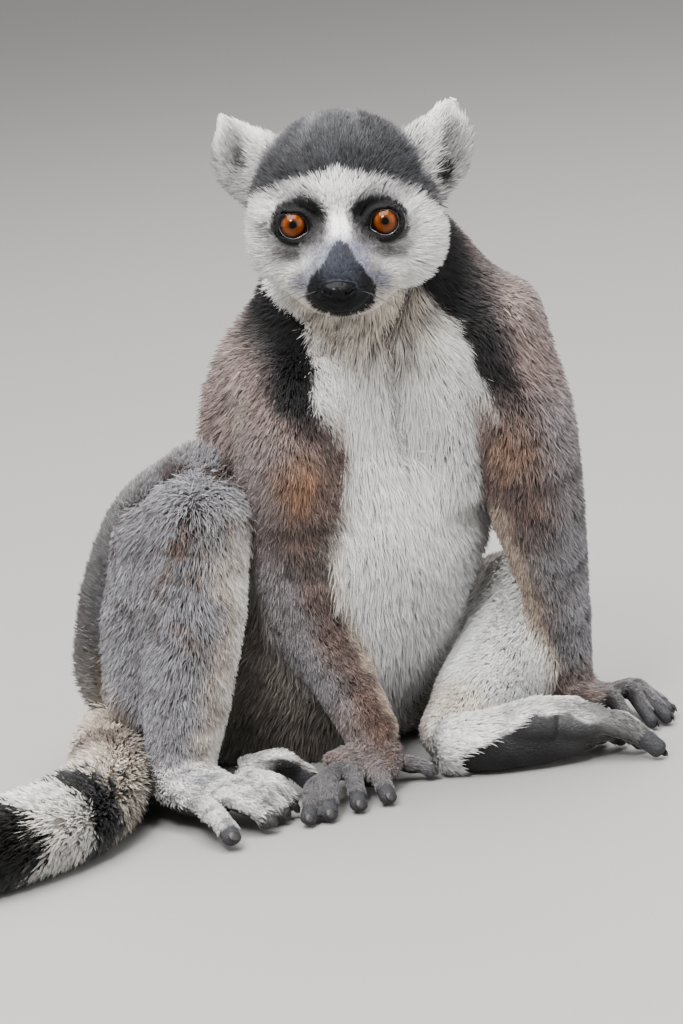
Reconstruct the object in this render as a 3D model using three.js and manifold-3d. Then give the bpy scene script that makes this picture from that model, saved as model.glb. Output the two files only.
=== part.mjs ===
// A ring-tailed lemur, sitting upright on the floor and leaning on its hands. Life size, in millimetres.
// It looks along -Y, its left side is towards +X, and the floor is Z = 0.
// Each sub-part is a closed solid that reaches out to the tips of the coat. The animal is drawn from its
// joints: a limb is a tube of oval rings along the line of its bones, and the head is one blended shape.
// A later part is cut back from the ones before it, so that neighbours meet across a thin gap.
import * as THREE from "three";
import { mergeVertices } from "three/addons/utils/BufferGeometryUtils.js";
import Module from "manifold-3d";

const wasm = await Module();
wasm.setup();

// ---------------------------------------------------------------- driving sizes

const GAP = 0.3; // between neighbouring parts
const REACH = 900; // size of the block that levels the underside
const EYE_RADIUS = 8.2;
const FACE_MIDDLE = -0.8; // the face is turned a little to the animal's right
const EYE_SPREAD = 19.25; // from the middle of the face to an eye
const EYE_TILT = 0.45; // how far each eye is above or below the other's level

// The head's own frame: where it is, where it looks, and its sideways direction.
const HEAD_AT = new THREE.Vector3(16, -42, 262);
const HEAD_FORWARD = new THREE.Vector3(-0.07, -0.965, -0.25).normalize();
const HEAD_ACROSS = new THREE.Vector3(0.996, 0, -0.08)
  .addScaledVector(HEAD_FORWARD, -HEAD_FORWARD.dot(new THREE.Vector3(0.996, 0, -0.08)))
  .normalize();
const HEAD_UP = HEAD_FORWARD.clone().cross(HEAD_ACROSS);

// Sideways directions. The hips are turned further to the animal's left than the chest is.
const ACROSS_HIPS = new THREE.Vector3(0.87, 0.49, 0);
const ACROSS_VIEW = new THREE.Vector3(1, 0, 0);
const UPWARDS = new THREE.Vector3(0, 0, 1);
const ACROSS_RIGHT_FOOT = new THREE.Vector3(0.88, 0.47, 0);
const ACROSS_LEFT_FOOT = new THREE.Vector3(0.1, 0.25, 1);
const ACROSS_RIGHT_HAND = new THREE.Vector3(0.85, 0.52, 0);
const ACROSS_LEFT_HAND = new THREE.Vector3(-0.3, 0.95, 0);

// Which way along the head's sideways direction each side of the face lies.
const SIDES = { right: -1, left: 1 };

// The coat's colours.
const GREY = 0x8d8783;
const DARK = 0x3b3836;
const WHITE = 0xe4e0d8;
const BROWN = 0x7d6a60;
const SOLE = 0x2c2b2d;
const AMBER = 0xd0640c;

// ---------------------------------------------------------------- solids

/** A solid from a closed geometry whose vertices are shared. */
function solid(geometry) {
  return new wasm.Manifold(
    new wasm.Mesh({
      numProp: 3,
      vertProperties: new Float32Array(geometry.attributes.position.array),
      triVerts: new Uint32Array(geometry.index.array),
    }),
  );
}

/** A geometry from a solid. */
function geometryOf(shape) {
  const mesh = shape.getMesh();
  const geometry = new THREE.BufferGeometry();
  geometry.setAttribute("position", new THREE.BufferAttribute(mesh.vertProperties, 3));
  geometry.setIndex(new THREE.BufferAttribute(mesh.triVerts, 1));
  const flat = geometry.toNonIndexed();
  flat.computeVertexNormals();
  return flat;
}

/** The largest connected piece of a solid. */
function mainPiece(shape) {
  return shape.decompose().reduce((a, b) => (a.volume() > b.volume() ? a : b));
}

/** A solid from a stack of rings, each an array of as many points, closed to a point at each end. */
function stacked(rings, first, last) {
  const sides = rings[0].length;
  const points = [first, ...rings.flat(), last];
  const at = (ring, k) => 1 + ring * sides + (k % sides);
  const faces = [];
  for (let k = 0; k < sides; k++) {
    faces.push(0, at(0, k + 1), at(0, k));
    for (let ring = 0; ring + 1 < rings.length; ring++) {
      faces.push(at(ring, k), at(ring, k + 1), at(ring + 1, k + 1));
      faces.push(at(ring, k), at(ring + 1, k + 1), at(ring + 1, k));
    }
    faces.push(points.length - 1, at(rings.length - 1, k), at(rings.length - 1, k + 1));
  }
  const geometry = new THREE.BufferGeometry().setFromPoints(points);
  geometry.setIndex(faces);
  return solid(geometry);
}

/**
 * A limb: oval rings along a smooth line through stations [x, y, z, wide, deep].
 * wide is a ring's half size towards `side`, which turns to `sideEnd` along the line, and deep is its half
 * size across that. `span` takes part of the line: an end of the whole line is domed, and an end within it is
 * flat, half a gap short. The result swells the limb by `grow`.
 */
function limb(
  stations,
  { side = ACROSS_VIEW, sideEnd = side, span = [0, 1], rings = 6, sides = 10, dome = 0.8 } = {},
) {
  const centres = new THREE.CatmullRomCurve3(stations.map(([x, y, z]) => new THREE.Vector3(x, y, z)));
  const sizes = new THREE.CatmullRomCurve3(
    stations.map(([, , , wide, deep]) => new THREE.Vector3(wide, deep, 0)),
  );
  const [start, end] = span;
  return (grow) => {
    const centreOf = (t, reach) => {
      const size = sizes.getPoint(t);
      const tip = Math.min(size.x, size.y) * dome + grow;
      return centres.getPoint(t).addScaledVector(centres.getTangent(t), reach * tip);
    };
    const ring = (t, share, centre) => {
      const along = centres.getTangent(t);
      const across = side.clone().lerp(sideEnd, t);
      across.addScaledVector(along, -across.dot(along)).normalize();
      const over = along.clone().cross(across);
      const size = sizes.getPoint(t);
      return Array.from({ length: sides }, (_, k) => {
        const angle = (2 * Math.PI * k) / sides;
        return centre
          .clone()
          .addScaledVector(across, (size.x + grow) * share * Math.cos(angle))
          .addScaledVector(over, (size.y + grow) * share * Math.sin(angle));
      });
    };
    const rows = [];
    for (let i = 0; i < rings; i++) {
      const t = start + (i / (rings - 1)) * (end - start);
      const within = (i === 0 && start > 0) - (i === rings - 1 && end < 1);
      const centre = centres.getPoint(t).addScaledVector(centres.getTangent(t), (within * GAP) / 2);
      rows.push(ring(t, 1, centre));
    }
    const first = start > 0 ? average(rows[0]) : centreOf(0, -1);
    const last = end < 1 ? average(rows[rings - 1]) : centreOf(1, 1);
    if (start === 0) rows.unshift(ring(0, 0.62, centreOf(0, -0.78)));
    if (end === 1) rows.push(ring(1, 0.62, centreOf(1, 0.78)));
    return stacked(rows, first, last);
  };
}

/** The middle of some points. */
function average(points) {
  const sum = points.reduce((total, point) => total.add(point), new THREE.Vector3());
  return sum.divideScalar(points.length);
}

/** A point of the head, from its distances across, forward and up. */
function headPoint([across, forward, up]) {
  return HEAD_AT.clone()
    .addScaledVector(HEAD_ACROSS, across)
    .addScaledVector(HEAD_FORWARD, forward)
    .addScaledVector(HEAD_UP, up);
}

/** Distance from a point to an oval ball, near enough close to its surface. */
function ballDistance(point, { at, radii }) {
  const scaled = point.map((value, i) => (value - at[i]) / radii[i]);
  const twice = scaled.map((value, i) => value / radii[i]);
  const length = Math.hypot(...scaled);
  return (length * (length - 1)) / Math.hypot(...twice);
}

/** The shape of oval balls blended together, seen from one point inside it, with its pole at the snout. */
function blended(balls, { from, blend, rings, sides }) {
  const distance = (point) =>
    balls
      .map((ball) => ballDistance(point, ball))
      .reduce((a, b) => {
        const share = Math.max(blend - Math.abs(a - b), 0) / blend;
        return Math.min(a, b) - share * share * blend * 0.25;
      });
  return (grow) => {
    const reach = (direction) => {
      let near = 1;
      let far = 120;
      for (let i = 0; i < 24; i++) {
        const middle = (near + far) / 2;
        const point = from.map((value, k) => value + direction[k] * middle);
        if (distance(point) < grow) near = middle;
        else far = middle;
      }
      return headPoint(from.map((value, k) => value + direction[k] * near));
    };
    const pole = (turn, k) => {
      const angle = (2 * Math.PI * k) / sides;
      return [Math.sin(turn) * Math.cos(angle), -Math.cos(turn), Math.sin(turn) * Math.sin(angle)];
    };
    const rows = Array.from({ length: rings }, (_, i) => {
      const share = (i + 1) / (rings + 1);
      const turn = Math.PI * (share + 0.07 * Math.sin(2 * Math.PI * share));
      return Array.from({ length: sides }, (_, k) => reach(pole(turn, k)));
    });
    return stacked(rows, reach([0, -1, 0]), reach([0, 1, 0]));
  };
}

/** An oval ball of the head, with its pole forwards. */
function headBall(at, radii, detail) {
  return blended([{ at, radii }], { from: at, blend: 1, rings: detail, sides: 2 * detail });
}

// ---------------------------------------------------------------- head

// The parts in the order of their claim to the space: each is cut by the ones before it.
const parts = [];
const add = (name, colour, make, roughness = 0.9) => parts.push({ name, colour, make, roughness });

for (const [name, hand] of Object.entries(SIDES)) {
  const radii = [EYE_RADIUS, EYE_RADIUS, EYE_RADIUS];
  const at = [hand * EYE_SPREAD + FACE_MIDDLE, 25, 2.9 + hand * EYE_TILT];
  add(`eye_${name}`, AMBER, headBall(at, radii, 6), 0.1);
}
add("nose", SOLE, headBall([FACE_MIDDLE, 67.5, -6.6], [7.6, 5.4, 5.4], 5), 0.35);
add(
  "head",
  WHITE,
  blended(
    [
      { at: [0, -5, 3], radii: [38.5, 39, 36] },
      { at: [-23.5, 3, -13], radii: [22, 27, 24] },
      { at: [23.5, 3, -13], radii: [22, 27, 24] },
      { at: [0, 20, -22], radii: [25, 26, 17] },
      { at: [FACE_MIDDLE, 38, -7], radii: [15.5, 24, 15] },
      { at: [FACE_MIDDLE, 56, -10.5], radii: [13, 14, 11.5] },
    ],
    { from: [0, 12, -5], blend: 10, rings: 14, sides: 18 },
  ),
);

/** An ear's stations are given in the head's frame, and the left ear is held a little higher. */
function ear(hand) {
  const stations = [
    [29, -10, 8, 18, 9],
    [39, -13, 16 + hand, 17.5, 9],
    [45.5, -17, 25 + 2 * hand, 12.5, 7],
    [48 - hand, -20, 31 + 3 * hand, 5, 4],
  ].map(([across, forward, up, wide, deep]) => [...headPoint([hand * across, forward, up]), wide, deep]);
  const slope = HEAD_ACROSS.clone().multiplyScalar(-0.83 * hand).addScaledVector(HEAD_UP, 0.56);
  return limb(stations, { side: slope, rings: 5, sides: 10, dome: 0.5 });
}
for (const [name, hand] of Object.entries(SIDES)) add(`ear_${name}`, WHITE, ear(hand));

// ---------------------------------------------------------------- hands and arms

/** A digit runs from its root over its knuckle to its tip, where the pad is broader. */
function digit(root, knuckle, tip, radius, pad) {
  return limb([[...root, radius, radius], [...knuckle, radius, radius], [...tip, pad, pad * 0.8]], {
    rings: 4,
    sides: 6,
    dome: 0.9,
  });
}

const rightFingers = [
  [[9, -15, 10], [17, -17, 7.5], [25, -19, 4], 4, 4],
  [[2, -22, 13], [1, -34, 11.5], [5, -51, 4], 4.2, 4.8],
  [[-5, -26, 14], [-9, -38, 13], [-8, -57, 4], 4.2, 4.8],
  [[-11, -31, 14], [-19, -45, 14], [-21, -66, 4], 4.2, 4.8],
  [[-17, -34, 12], [-26, -50, 12], [-30, -69, 4], 4, 4.5],
];
const leftFingers = [
  [[96, 36, 9], [99, 26, 7], [103, 16, 4], 4, 4],
  [[101, 36, 12], [108, 31, 14], [116, 16, 4], 4, 4.5],
  [[105, 39, 12], [117, 35, 15], [125, 18, 4], 4, 4.5],
  [[107, 44, 12], [121, 41, 14], [132, 23, 4], 4, 4.5],
  [[107, 50, 11], [120, 50, 12], [134, 35, 4], 4, 4.5],
];
rightFingers.forEach((place, i) => add(`finger_right_${i + 1}`, BROWN, digit(...place)));
leftFingers.forEach((place, i) => add(`finger_left_${i + 1}`, BROWN, digit(...place)));

add(
  "hand_right",
  BROWN,
  limb([[3, -13, 15, 12, 10], [-1, -22, 13, 15, 9], [-7, -30, 12, 18, 8]], {
    side: ACROSS_RIGHT_HAND,
    rings: 3,
    sides: 8,
  }),
);
add(
  "hand_left",
  BROWN,
  limb([[91, 46, 15, 11, 10], [97, 43, 13, 14, 9], [104, 41, 11, 16, 8]], {
    side: ACROSS_LEFT_HAND,
    rings: 3,
    sides: 8,
  }),
);

/** An arm's line runs from the shoulder over the elbow, its middle station, to the wrist. */
const rightArm = [
  [-11, -17, 186, 24, 26],
  [-17, -19, 156, 23, 25],
  [-21, 0, 112, 20, 21],
  [-15, 1, 66, 16, 16],
  [1, -11, 24, 12.5, 12],
];
const leftArm = [
  [72, -3, 196, 24, 28],
  [82, -4, 160, 23.5, 26],
  [85, 11, 112, 22, 22],
  [90, 30, 64, 15, 16],
  [92, 46, 22, 11, 11],
];
add("upper_arm_right", BROWN, limb(rightArm, { span: [0, 0.5], rings: 5 }));
add("upper_arm_left", BROWN, limb(leftArm, { span: [0, 0.5], rings: 5 }));
add("forearm_right", BROWN, limb(rightArm, { span: [0.5, 1], rings: 5 }));
add("forearm_left", BROWN, limb(leftArm, { span: [0.5, 1], rings: 5 }));

// ---------------------------------------------------------------- feet and legs

const rightToes = [
  [[-54, -24, 17], [-40, -29, 19], [-27, -25, 7.5], 6, 6.5],
  [[-56, -44, 18], [-44, -55, 17], [-37, -53, 7], 5.2, 5.8],
  [[-61, -50, 17], [-50, -62, 15], [-41, -61, 6], 5.2, 5.8],
  [[-68, -55, 15], [-56, -68, 13], [-47, -72, 6], 5.3, 6],
  [[-76, -55, 13], [-70, -75, 12], [-63, -91, 6], 5.5, 6],
];
const leftToes = [
  [[60, -18, 21], [80, -19, 23], [100, -20, 20], 6, 6],
  [[90, -19, 20], [109, -23, 16], [124, -30, 5], 5.5, 5],
  [[90, -17, 17], [105, -15, 15], [118, -15, 5], 5, 5],
  [[88, -16, 11], [100, -10, 11], [110, -4, 5], 5, 5],
  [[84, -14, 8], [94, -5, 7], [102, 3, 5], 5, 5],
];
rightToes.forEach((place, i) => add(`toe_right_${i + 1}`, WHITE, digit(...place)));
leftToes.forEach((place, i) => add(`toe_left_${i + 1}`, SOLE, digit(...place)));

add(
  "foot_right",
  WHITE,
  limb([[-92, -2, 13, 13, 13], [-86, -22, 15, 16, 14], [-77, -40, 14, 17, 13], [-68, -50, 12, 16, 10]], {
    side: ACROSS_RIGHT_FOOT,
    rings: 5,
    sides: 9,
  }),
);
add(
  "foot_left",
  SOLE,
  limb([[36, -12, 13, 14, 12], [54, -18, 14, 15, 11], [74, -19, 16, 16, 9], [90, -18, 16, 14, 8]], {
    side: ACROSS_LEFT_FOOT,
    rings: 5,
    sides: 8,
  }),
);
add(
  "shank_right",
  GREY,
  limb([[-61, -13, 131, 23, 24], [-68, -14, 92, 24, 26], [-76, -16, 52, 20, 24], [-82, -18, 26, 16, 20]]),
);
add(
  "shank_left",
  WHITE,
  limb([[80, 65, 51, 27, 28], [66, 42, 37, 26, 27], [50, 18, 24, 21, 22], [36, 0, 15, 15, 15]]),
);
add(
  "thigh_right",
  GREY,
  limb([[-58, 2, 138, 22, 22], [-73, 20, 114, 33, 32], [-81, 44, 78, 42, 42], [-82, 64, 50, 48, 46]], {
    side: ACROSS_HIPS,
  }),
);
add("thigh_left", GREY, limb([[80, 76, 50, 27, 27], [42, 70, 38, 34, 36], [4, 74, 34, 38, 36]]));

// ---------------------------------------------------------------- trunk

// The line of the trunk, from under the head to the seat.
const TRUNK = [
  [21, -20, 242, 38, 28],
  [23.5, -5, 220, 48, 38],
  [17, 8, 195, 53, 46],
  [4, 25, 160, 62.5, 56],
  [4, 37, 120, 69, 58],
  [-9, 53, 78, 62, 61],
  [-26, 71, 42, 58, 58],
  [-34, 80, 20, 54, 52],
];
const NECK_END = 0.26;
const CHEST_END = 0.58;
const trunk = (span, rings) =>
  limb(TRUNK, { side: ACROSS_VIEW, sideEnd: ACROSS_HIPS, span, rings, sides: 16 });
add("neck", GREY, trunk([0, NECK_END], 4));
add("chest", WHITE, trunk([NECK_END, CHEST_END], 5));
add("abdomen", GREY, trunk([CHEST_END, 1], 6));

// ---------------------------------------------------------------- tail

// The line of the tail along the floor, and its half thickness, from the rump to the tip.
const TAIL = [
  [-86, 100, 32, 17, 17],
  [-104, 68, 22, 18, 18],
  [-113, 26, 20, 20, 20],
  [-113, -18, 20, 21, 21],
  [-121, -58, 20, 21, 21],
  [-143, -92, 20, 21, 21],
  [-182, -114, 20, 21, 21],
  [-226, -106, 20, 21, 21],
  [-256, -72, 20, 21, 21],
  [-266, -26, 20, 20, 20],
  [-259, 20, 19, 20, 20],
  [-236, 60, 17, 18, 18],
  [-203, 88, 14, 14, 14],
];
const TAIL_LENGTHS = 5;

for (let i = 0; i < TAIL_LENGTHS; i++) {
  const span = [i / TAIL_LENGTHS, (i + 1) / TAIL_LENGTHS];
  add(`tail_${i + 1}`, i % 2 ? DARK : WHITE, limb(TAIL, { side: UPWARDS, span, rings: 5, sides: 10 }));
}

// ---------------------------------------------------------------- cutting and placing

const underside = new THREE.BoxGeometry(REACH, REACH, REACH);
underside.deleteAttribute("normal");
underside.deleteAttribute("uv");
const ground = solid(mergeVertices(underside)).translate([0, 0, -REACH / 2]);

const made = [];
for (const { name, colour, make, roughness } of parts) {
  let shape = make(0).subtract(ground);
  for (const other of made) {
    if (shape.intersect(other.grown).volume() > 0) shape = shape.subtract(other.grown);
  }
  made.push({ name, colour, roughness, grown: make(GAP).add(make(0)), shape: mainPiece(shape) });
}

// The origin is the middle of the underside.
const whole = new THREE.Box3();
for (const { shape } of made) {
  const { min, max } = shape.boundingBox();
  whole.expandByPoint(new THREE.Vector3(...min)).expandByPoint(new THREE.Vector3(...max));
}
const middle = whole.getCenter(new THREE.Vector3());

const lemur = new THREE.Group();
for (const { name, colour, roughness, shape } of made) {
  const mesh = new THREE.Mesh(
    geometryOf(shape),
    new THREE.MeshStandardMaterial({ color: colour, roughness, metalness: 0 }),
  );
  mesh.name = name;
  mesh.position.set(-middle.x, -middle.y, -whole.min.z);
  lemur.add(mesh);
}

export default lemur;
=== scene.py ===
"""A ring-tailed lemur, life size, sitting upright and leaning on its hands: skin, coat, eyes, nose and nails.

The animal is worked out in millimetres in its drawing frame (X to its left, Y behind it, Z up), in which
its stations are given, and meshes are moved into the frame's metres when they are made.
"""
import math

import bpy
import numpy as np
import openvdb
from mathutils import Matrix, Vector


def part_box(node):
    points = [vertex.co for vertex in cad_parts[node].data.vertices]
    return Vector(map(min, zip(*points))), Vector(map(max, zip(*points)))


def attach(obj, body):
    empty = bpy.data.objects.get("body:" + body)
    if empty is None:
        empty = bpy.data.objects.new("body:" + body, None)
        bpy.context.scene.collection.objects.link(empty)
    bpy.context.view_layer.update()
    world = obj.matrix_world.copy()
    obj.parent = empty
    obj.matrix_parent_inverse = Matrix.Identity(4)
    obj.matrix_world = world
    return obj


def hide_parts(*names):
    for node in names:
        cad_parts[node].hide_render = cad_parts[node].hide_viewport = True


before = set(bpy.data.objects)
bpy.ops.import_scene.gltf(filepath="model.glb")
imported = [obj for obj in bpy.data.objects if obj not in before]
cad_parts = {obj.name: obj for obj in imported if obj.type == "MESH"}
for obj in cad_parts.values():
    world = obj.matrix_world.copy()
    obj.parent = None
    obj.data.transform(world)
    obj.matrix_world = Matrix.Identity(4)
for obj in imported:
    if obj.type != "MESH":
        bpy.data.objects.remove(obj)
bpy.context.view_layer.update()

# ---------------------------------------------------------------- head frame
# The head's origin, and its directions across (to the animal's left), forwards and up.
# The eye's centre, known in both frames, gives the way from the drawing frame to the frame's metres.

def unit(v):
    """v at length 1, row by row."""
    v = np.asarray(v, float)
    return v / np.maximum(np.linalg.norm(v, axis=-1, keepdims=True), 1e-9)


HEAD_AT = np.array([16.0, -42.0, 262.0])
HEAD_FORWARD = unit([-0.07, -0.965, -0.25])
HEAD_ACROSS = np.array([0.996, 0.0, -0.08])
HEAD_ACROSS = unit(HEAD_ACROSS - HEAD_FORWARD * (HEAD_FORWARD @ HEAD_ACROSS))
HEAD_UP = np.cross(HEAD_FORWARD, HEAD_ACROSS)
HEAD_AXES = np.array([HEAD_ACROSS, HEAD_FORWARD, HEAD_UP])
EYE_RADIUS = 8.2
EYES = {"right": (-20.05, 25.0, 2.45), "left": (18.45, 25.0, 3.35)}


def from_head(place):
    """Drawing-frame points from (across, forward, up) in the head."""
    return HEAD_AT + np.asarray(place, float) @ HEAD_AXES


def to_head(p):
    """(across, forward, up) in the head from drawing-frame points."""
    return (p - HEAD_AT) @ HEAD_AXES.T


low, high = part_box("eye_left")
SHIFT = np.array((low + high) / 2) - from_head(EYES["left"]) / 1000


def to_row(p):
    """Metres in the frame from millimetres in the drawing frame."""
    return np.asarray(p, float) / 1000 + SHIFT


# ---------------------------------------------------------------- camera
# A long lens from in front and a little above the animal, held slightly turned, so that the level floor
# slopes down to the left as sloping ground would.

ELEVATION, ROLL = math.radians(13), math.radians(7)
CAMERA_DISTANCE = 2500.0
CAMERA_TARGET = np.array([0.0, 0.0, 120.0])
LENS = 202.1

towards = np.array([0, math.cos(ELEVATION), -math.sin(ELEVATION)])
level_up = np.array([0, math.sin(ELEVATION), math.cos(ELEVATION)])
view_right = math.cos(ROLL) * np.array([1.0, 0, 0]) - math.sin(ROLL) * level_up
view_up = math.sin(ROLL) * np.array([1.0, 0, 0]) + math.cos(ROLL) * level_up
CAMERA_AT = CAMERA_TARGET - towards * CAMERA_DISTANCE

lens = bpy.data.cameras.new("camera")
lens.lens = LENS
camera = bpy.data.objects.new("camera", lens)
turn = Matrix([view_right, view_up, -towards]).transposed().to_4x4()
camera.matrix_world = Matrix.Translation(Vector(to_row(CAMERA_AT))) @ turn
bpy.context.scene.collection.objects.link(camera)
bpy.context.scene.camera = camera

# ---------------------------------------------------------------- light and floor
# A broad soft lamp overhead, smaller ones in front, at both sides and behind, a pale sky and a pale floor.

LAMPS = {
    "sky": {"at": (0.0, -0.30, 1.9), "size": 1.7, "watts": 116},
    "key": {"at": (-0.32, -1.40, 1.57), "size": 0.45, "watts": 47},
    "fill": {"at": (1.2, -1.0, 0.7), "size": 1.4, "watts": 17},
    "side": {"at": (-1.4, -0.2, 0.8), "size": 1.2, "watts": 9},
    "rim": {"at": (0.2, 1.2, 1.3), "size": 1.0, "watts": 16},
}
LOOK_AT = Vector((0.05, 0, 0.14))
for name, lamp in LAMPS.items():
    light = bpy.data.lights.new(name, "AREA")
    light.size = lamp["size"]
    light.energy = lamp["watts"]
    thing = bpy.data.objects.new(name, light)
    thing.location = lamp["at"]
    thing.rotation_euler = (LOOK_AT - thing.location).to_track_quat("-Z", "Y").to_euler()
    bpy.context.scene.collection.objects.link(thing)

SKY_COLOUR, SKY_STRENGTH = (0.83, 0.84, 0.87, 1), 0.55
world = bpy.data.worlds.new("studio")
world.use_nodes = True
sky = world.node_tree.nodes["Background"].inputs
sky["Color"].default_value = SKY_COLOUR
sky["Strength"].default_value = SKY_STRENGTH
bpy.context.scene.world = world

FLOOR_HALF, FLOOR_COLOUR, FLOOR_ROUGHNESS = 14.0, (0.27, 0.263, 0.252, 1), 0.8
mesh = bpy.data.meshes.new("floor")
corners = [(-1, -1), (1, -1), (1, 1), (-1, 1)]
mesh.from_pydata([(x * FLOOR_HALF, y * FLOOR_HALF, 0) for x, y in corners], [], [(0, 1, 2, 3)])
floor = bpy.data.objects.new("floor", mesh)
bpy.context.scene.collection.objects.link(floor)
paint = bpy.data.materials.new("floor")
paint.use_nodes = True
matt = paint.node_tree.nodes["Principled BSDF"].inputs
matt["Base Color"].default_value = FLOOR_COLOUR
matt["Roughness"].default_value = FLOOR_ROUGHNESS
mesh.materials.append(paint)

# ---------------------------------------------------------------- the body's shape
# Flesh and coat are a blend of tubes with oval rings along the bones, and of oval balls in the head.
# A station of a tube is (x, y, z, wide, deep, coat): ring half sizes out to the coat's tips, and its depth.

def merge(a, b, blend):
    """The nearer of two distances, rounded off over `blend` millimetres where they meet."""
    share = np.maximum(blend - np.abs(a - b), 0) / blend
    return np.minimum(a, b) - share * share * blend * 0.25


def spline(stations, places):
    """Points of the centripetal Catmull-Rom curve through stations, at places from 0 to 1."""
    ends = [2 * stations[0] - stations[1]], stations, [2 * stations[-1] - stations[-2]]
    padded = np.concatenate(ends)
    where = np.clip(places, 0, 1) * (len(stations) - 1)
    i = np.minimum(where.astype(int), len(stations) - 2)
    w = (where - i)[:, None]
    p0, p1, p2, p3 = (padded[i + k] for k in range(4))
    d0, d1, d2 = (
        np.sqrt(np.maximum(np.linalg.norm(b - a, axis=1), 1e-3))[:, None]
        for a, b in ((p0, p1), (p1, p2), (p2, p3))
    )
    t1 = ((p1 - p0) / d0 - (p2 - p0) / (d0 + d1) + (p2 - p1) / d1) * d1
    t2 = ((p2 - p1) / d1 - (p3 - p1) / (d1 + d2) + (p3 - p2) / d2) * d1
    return p1 + t1 * w + (3 * (p2 - p1) - 2 * t1 - t2) * w**2 + (2 * (p1 - p2) + t1 + t2) * w**3


def tube(stations, side=(1, 0, 0), side_end=None, blend=10.0, flow=1, dome=0.8):
    """A tube's sampled line, frames and sizes. flow is -1 where hair runs against the order of stations."""
    stations = np.array(stations, float)
    places = np.linspace(0, 1, 4 * len(stations))
    centre = spline(stations[:, :3], places)
    along = unit(np.gradient(centre, axis=0))
    side = np.asarray(side, float)
    side_end = side if side_end is None else np.asarray(side_end, float)
    across = side + (side_end - side) * places[:, None]
    across = unit(across - along * (across * along).sum(1, keepdims=True))
    steps = np.arange(len(stations)) / (len(stations) - 1)
    wide, deep, coat = (np.interp(places, steps, stations[:, k]) for k in (3, 4, 5))
    reach = stations[:, 3:5].max() + blend + 8
    return {
        "centre": centre,
        "along": along,
        "across": across,
        "over": np.cross(along, across),
        "sizes": np.stack([wide, deep, coat], 1),
        "dome": dome,
        "blend": blend,
        "flow": flow,
        "box": (centre.min(0) - reach, centre.max(0) + reach),
    }


def place_on(part, p):
    """For points near a tube: the sample place, and the offsets across, over and past the end."""
    centre = part["centre"]
    best = np.full(len(p), np.inf)
    at = np.zeros(len(p))
    for i in range(len(centre) - 1):
        step = centre[i + 1] - centre[i]
        share = np.clip((p - centre[i]) @ step / (step @ step), 0, 1)
        gap = p - centre[i] - share[:, None] * step
        far = np.einsum("ij,ij->i", gap, gap)
        closer = far < best
        best[closer] = far[closer]
        at[closer] = i + share[closer]
    i = np.minimum(at.astype(int), len(centre) - 2)
    w = (at - i)[:, None]
    centre, along, across, over, sizes = (
        part[key][i] * (1 - w) + part[key][i + 1] * w for key in ("centre", "along", "across", "over", "sizes")
    )
    off = p - centre
    beyond = np.where((at <= 0) | (at >= len(part["centre"]) - 1), (off * along).sum(1), 0)
    return at / (len(part["centre"]) - 1), (off * across).sum(1), (off * over).sum(1), beyond, sizes


def tube_distance(part, p, inset):
    """Distance from points to a tube, its rings smaller by `inset` coats, with domed ends."""
    _, x, y, z, sizes = place_on(part, p)
    shrink = inset * sizes[:, 2]
    wide, deep = sizes[:, 0] - shrink, sizes[:, 1] - shrink
    tip = np.maximum(np.minimum(sizes[:, 0], sizes[:, 1]) * part["dome"] - shrink, 1.0)
    scaled = np.sqrt((x / wide) ** 2 + (y / deep) ** 2 + (z / tip) ** 2) + 1e-6
    slope = np.sqrt((x / wide**2) ** 2 + (y / deep**2) ** 2 + (z / tip**2) ** 2) + 1e-6
    return scaled * (scaled - 1) / slope


ACROSS_HIPS = (0.87, 0.49, 0)
RIGHT_HAND_SIDE = (0.85, 0.52, 0)
LEFT_HAND_SIDE = (-0.3, 0.95, 0)
RIGHT_FOOT_SIDE = (0.88, 0.47, 0)
LEFT_FOOT_SIDE = (0.1, 0.25, 1)

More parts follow.
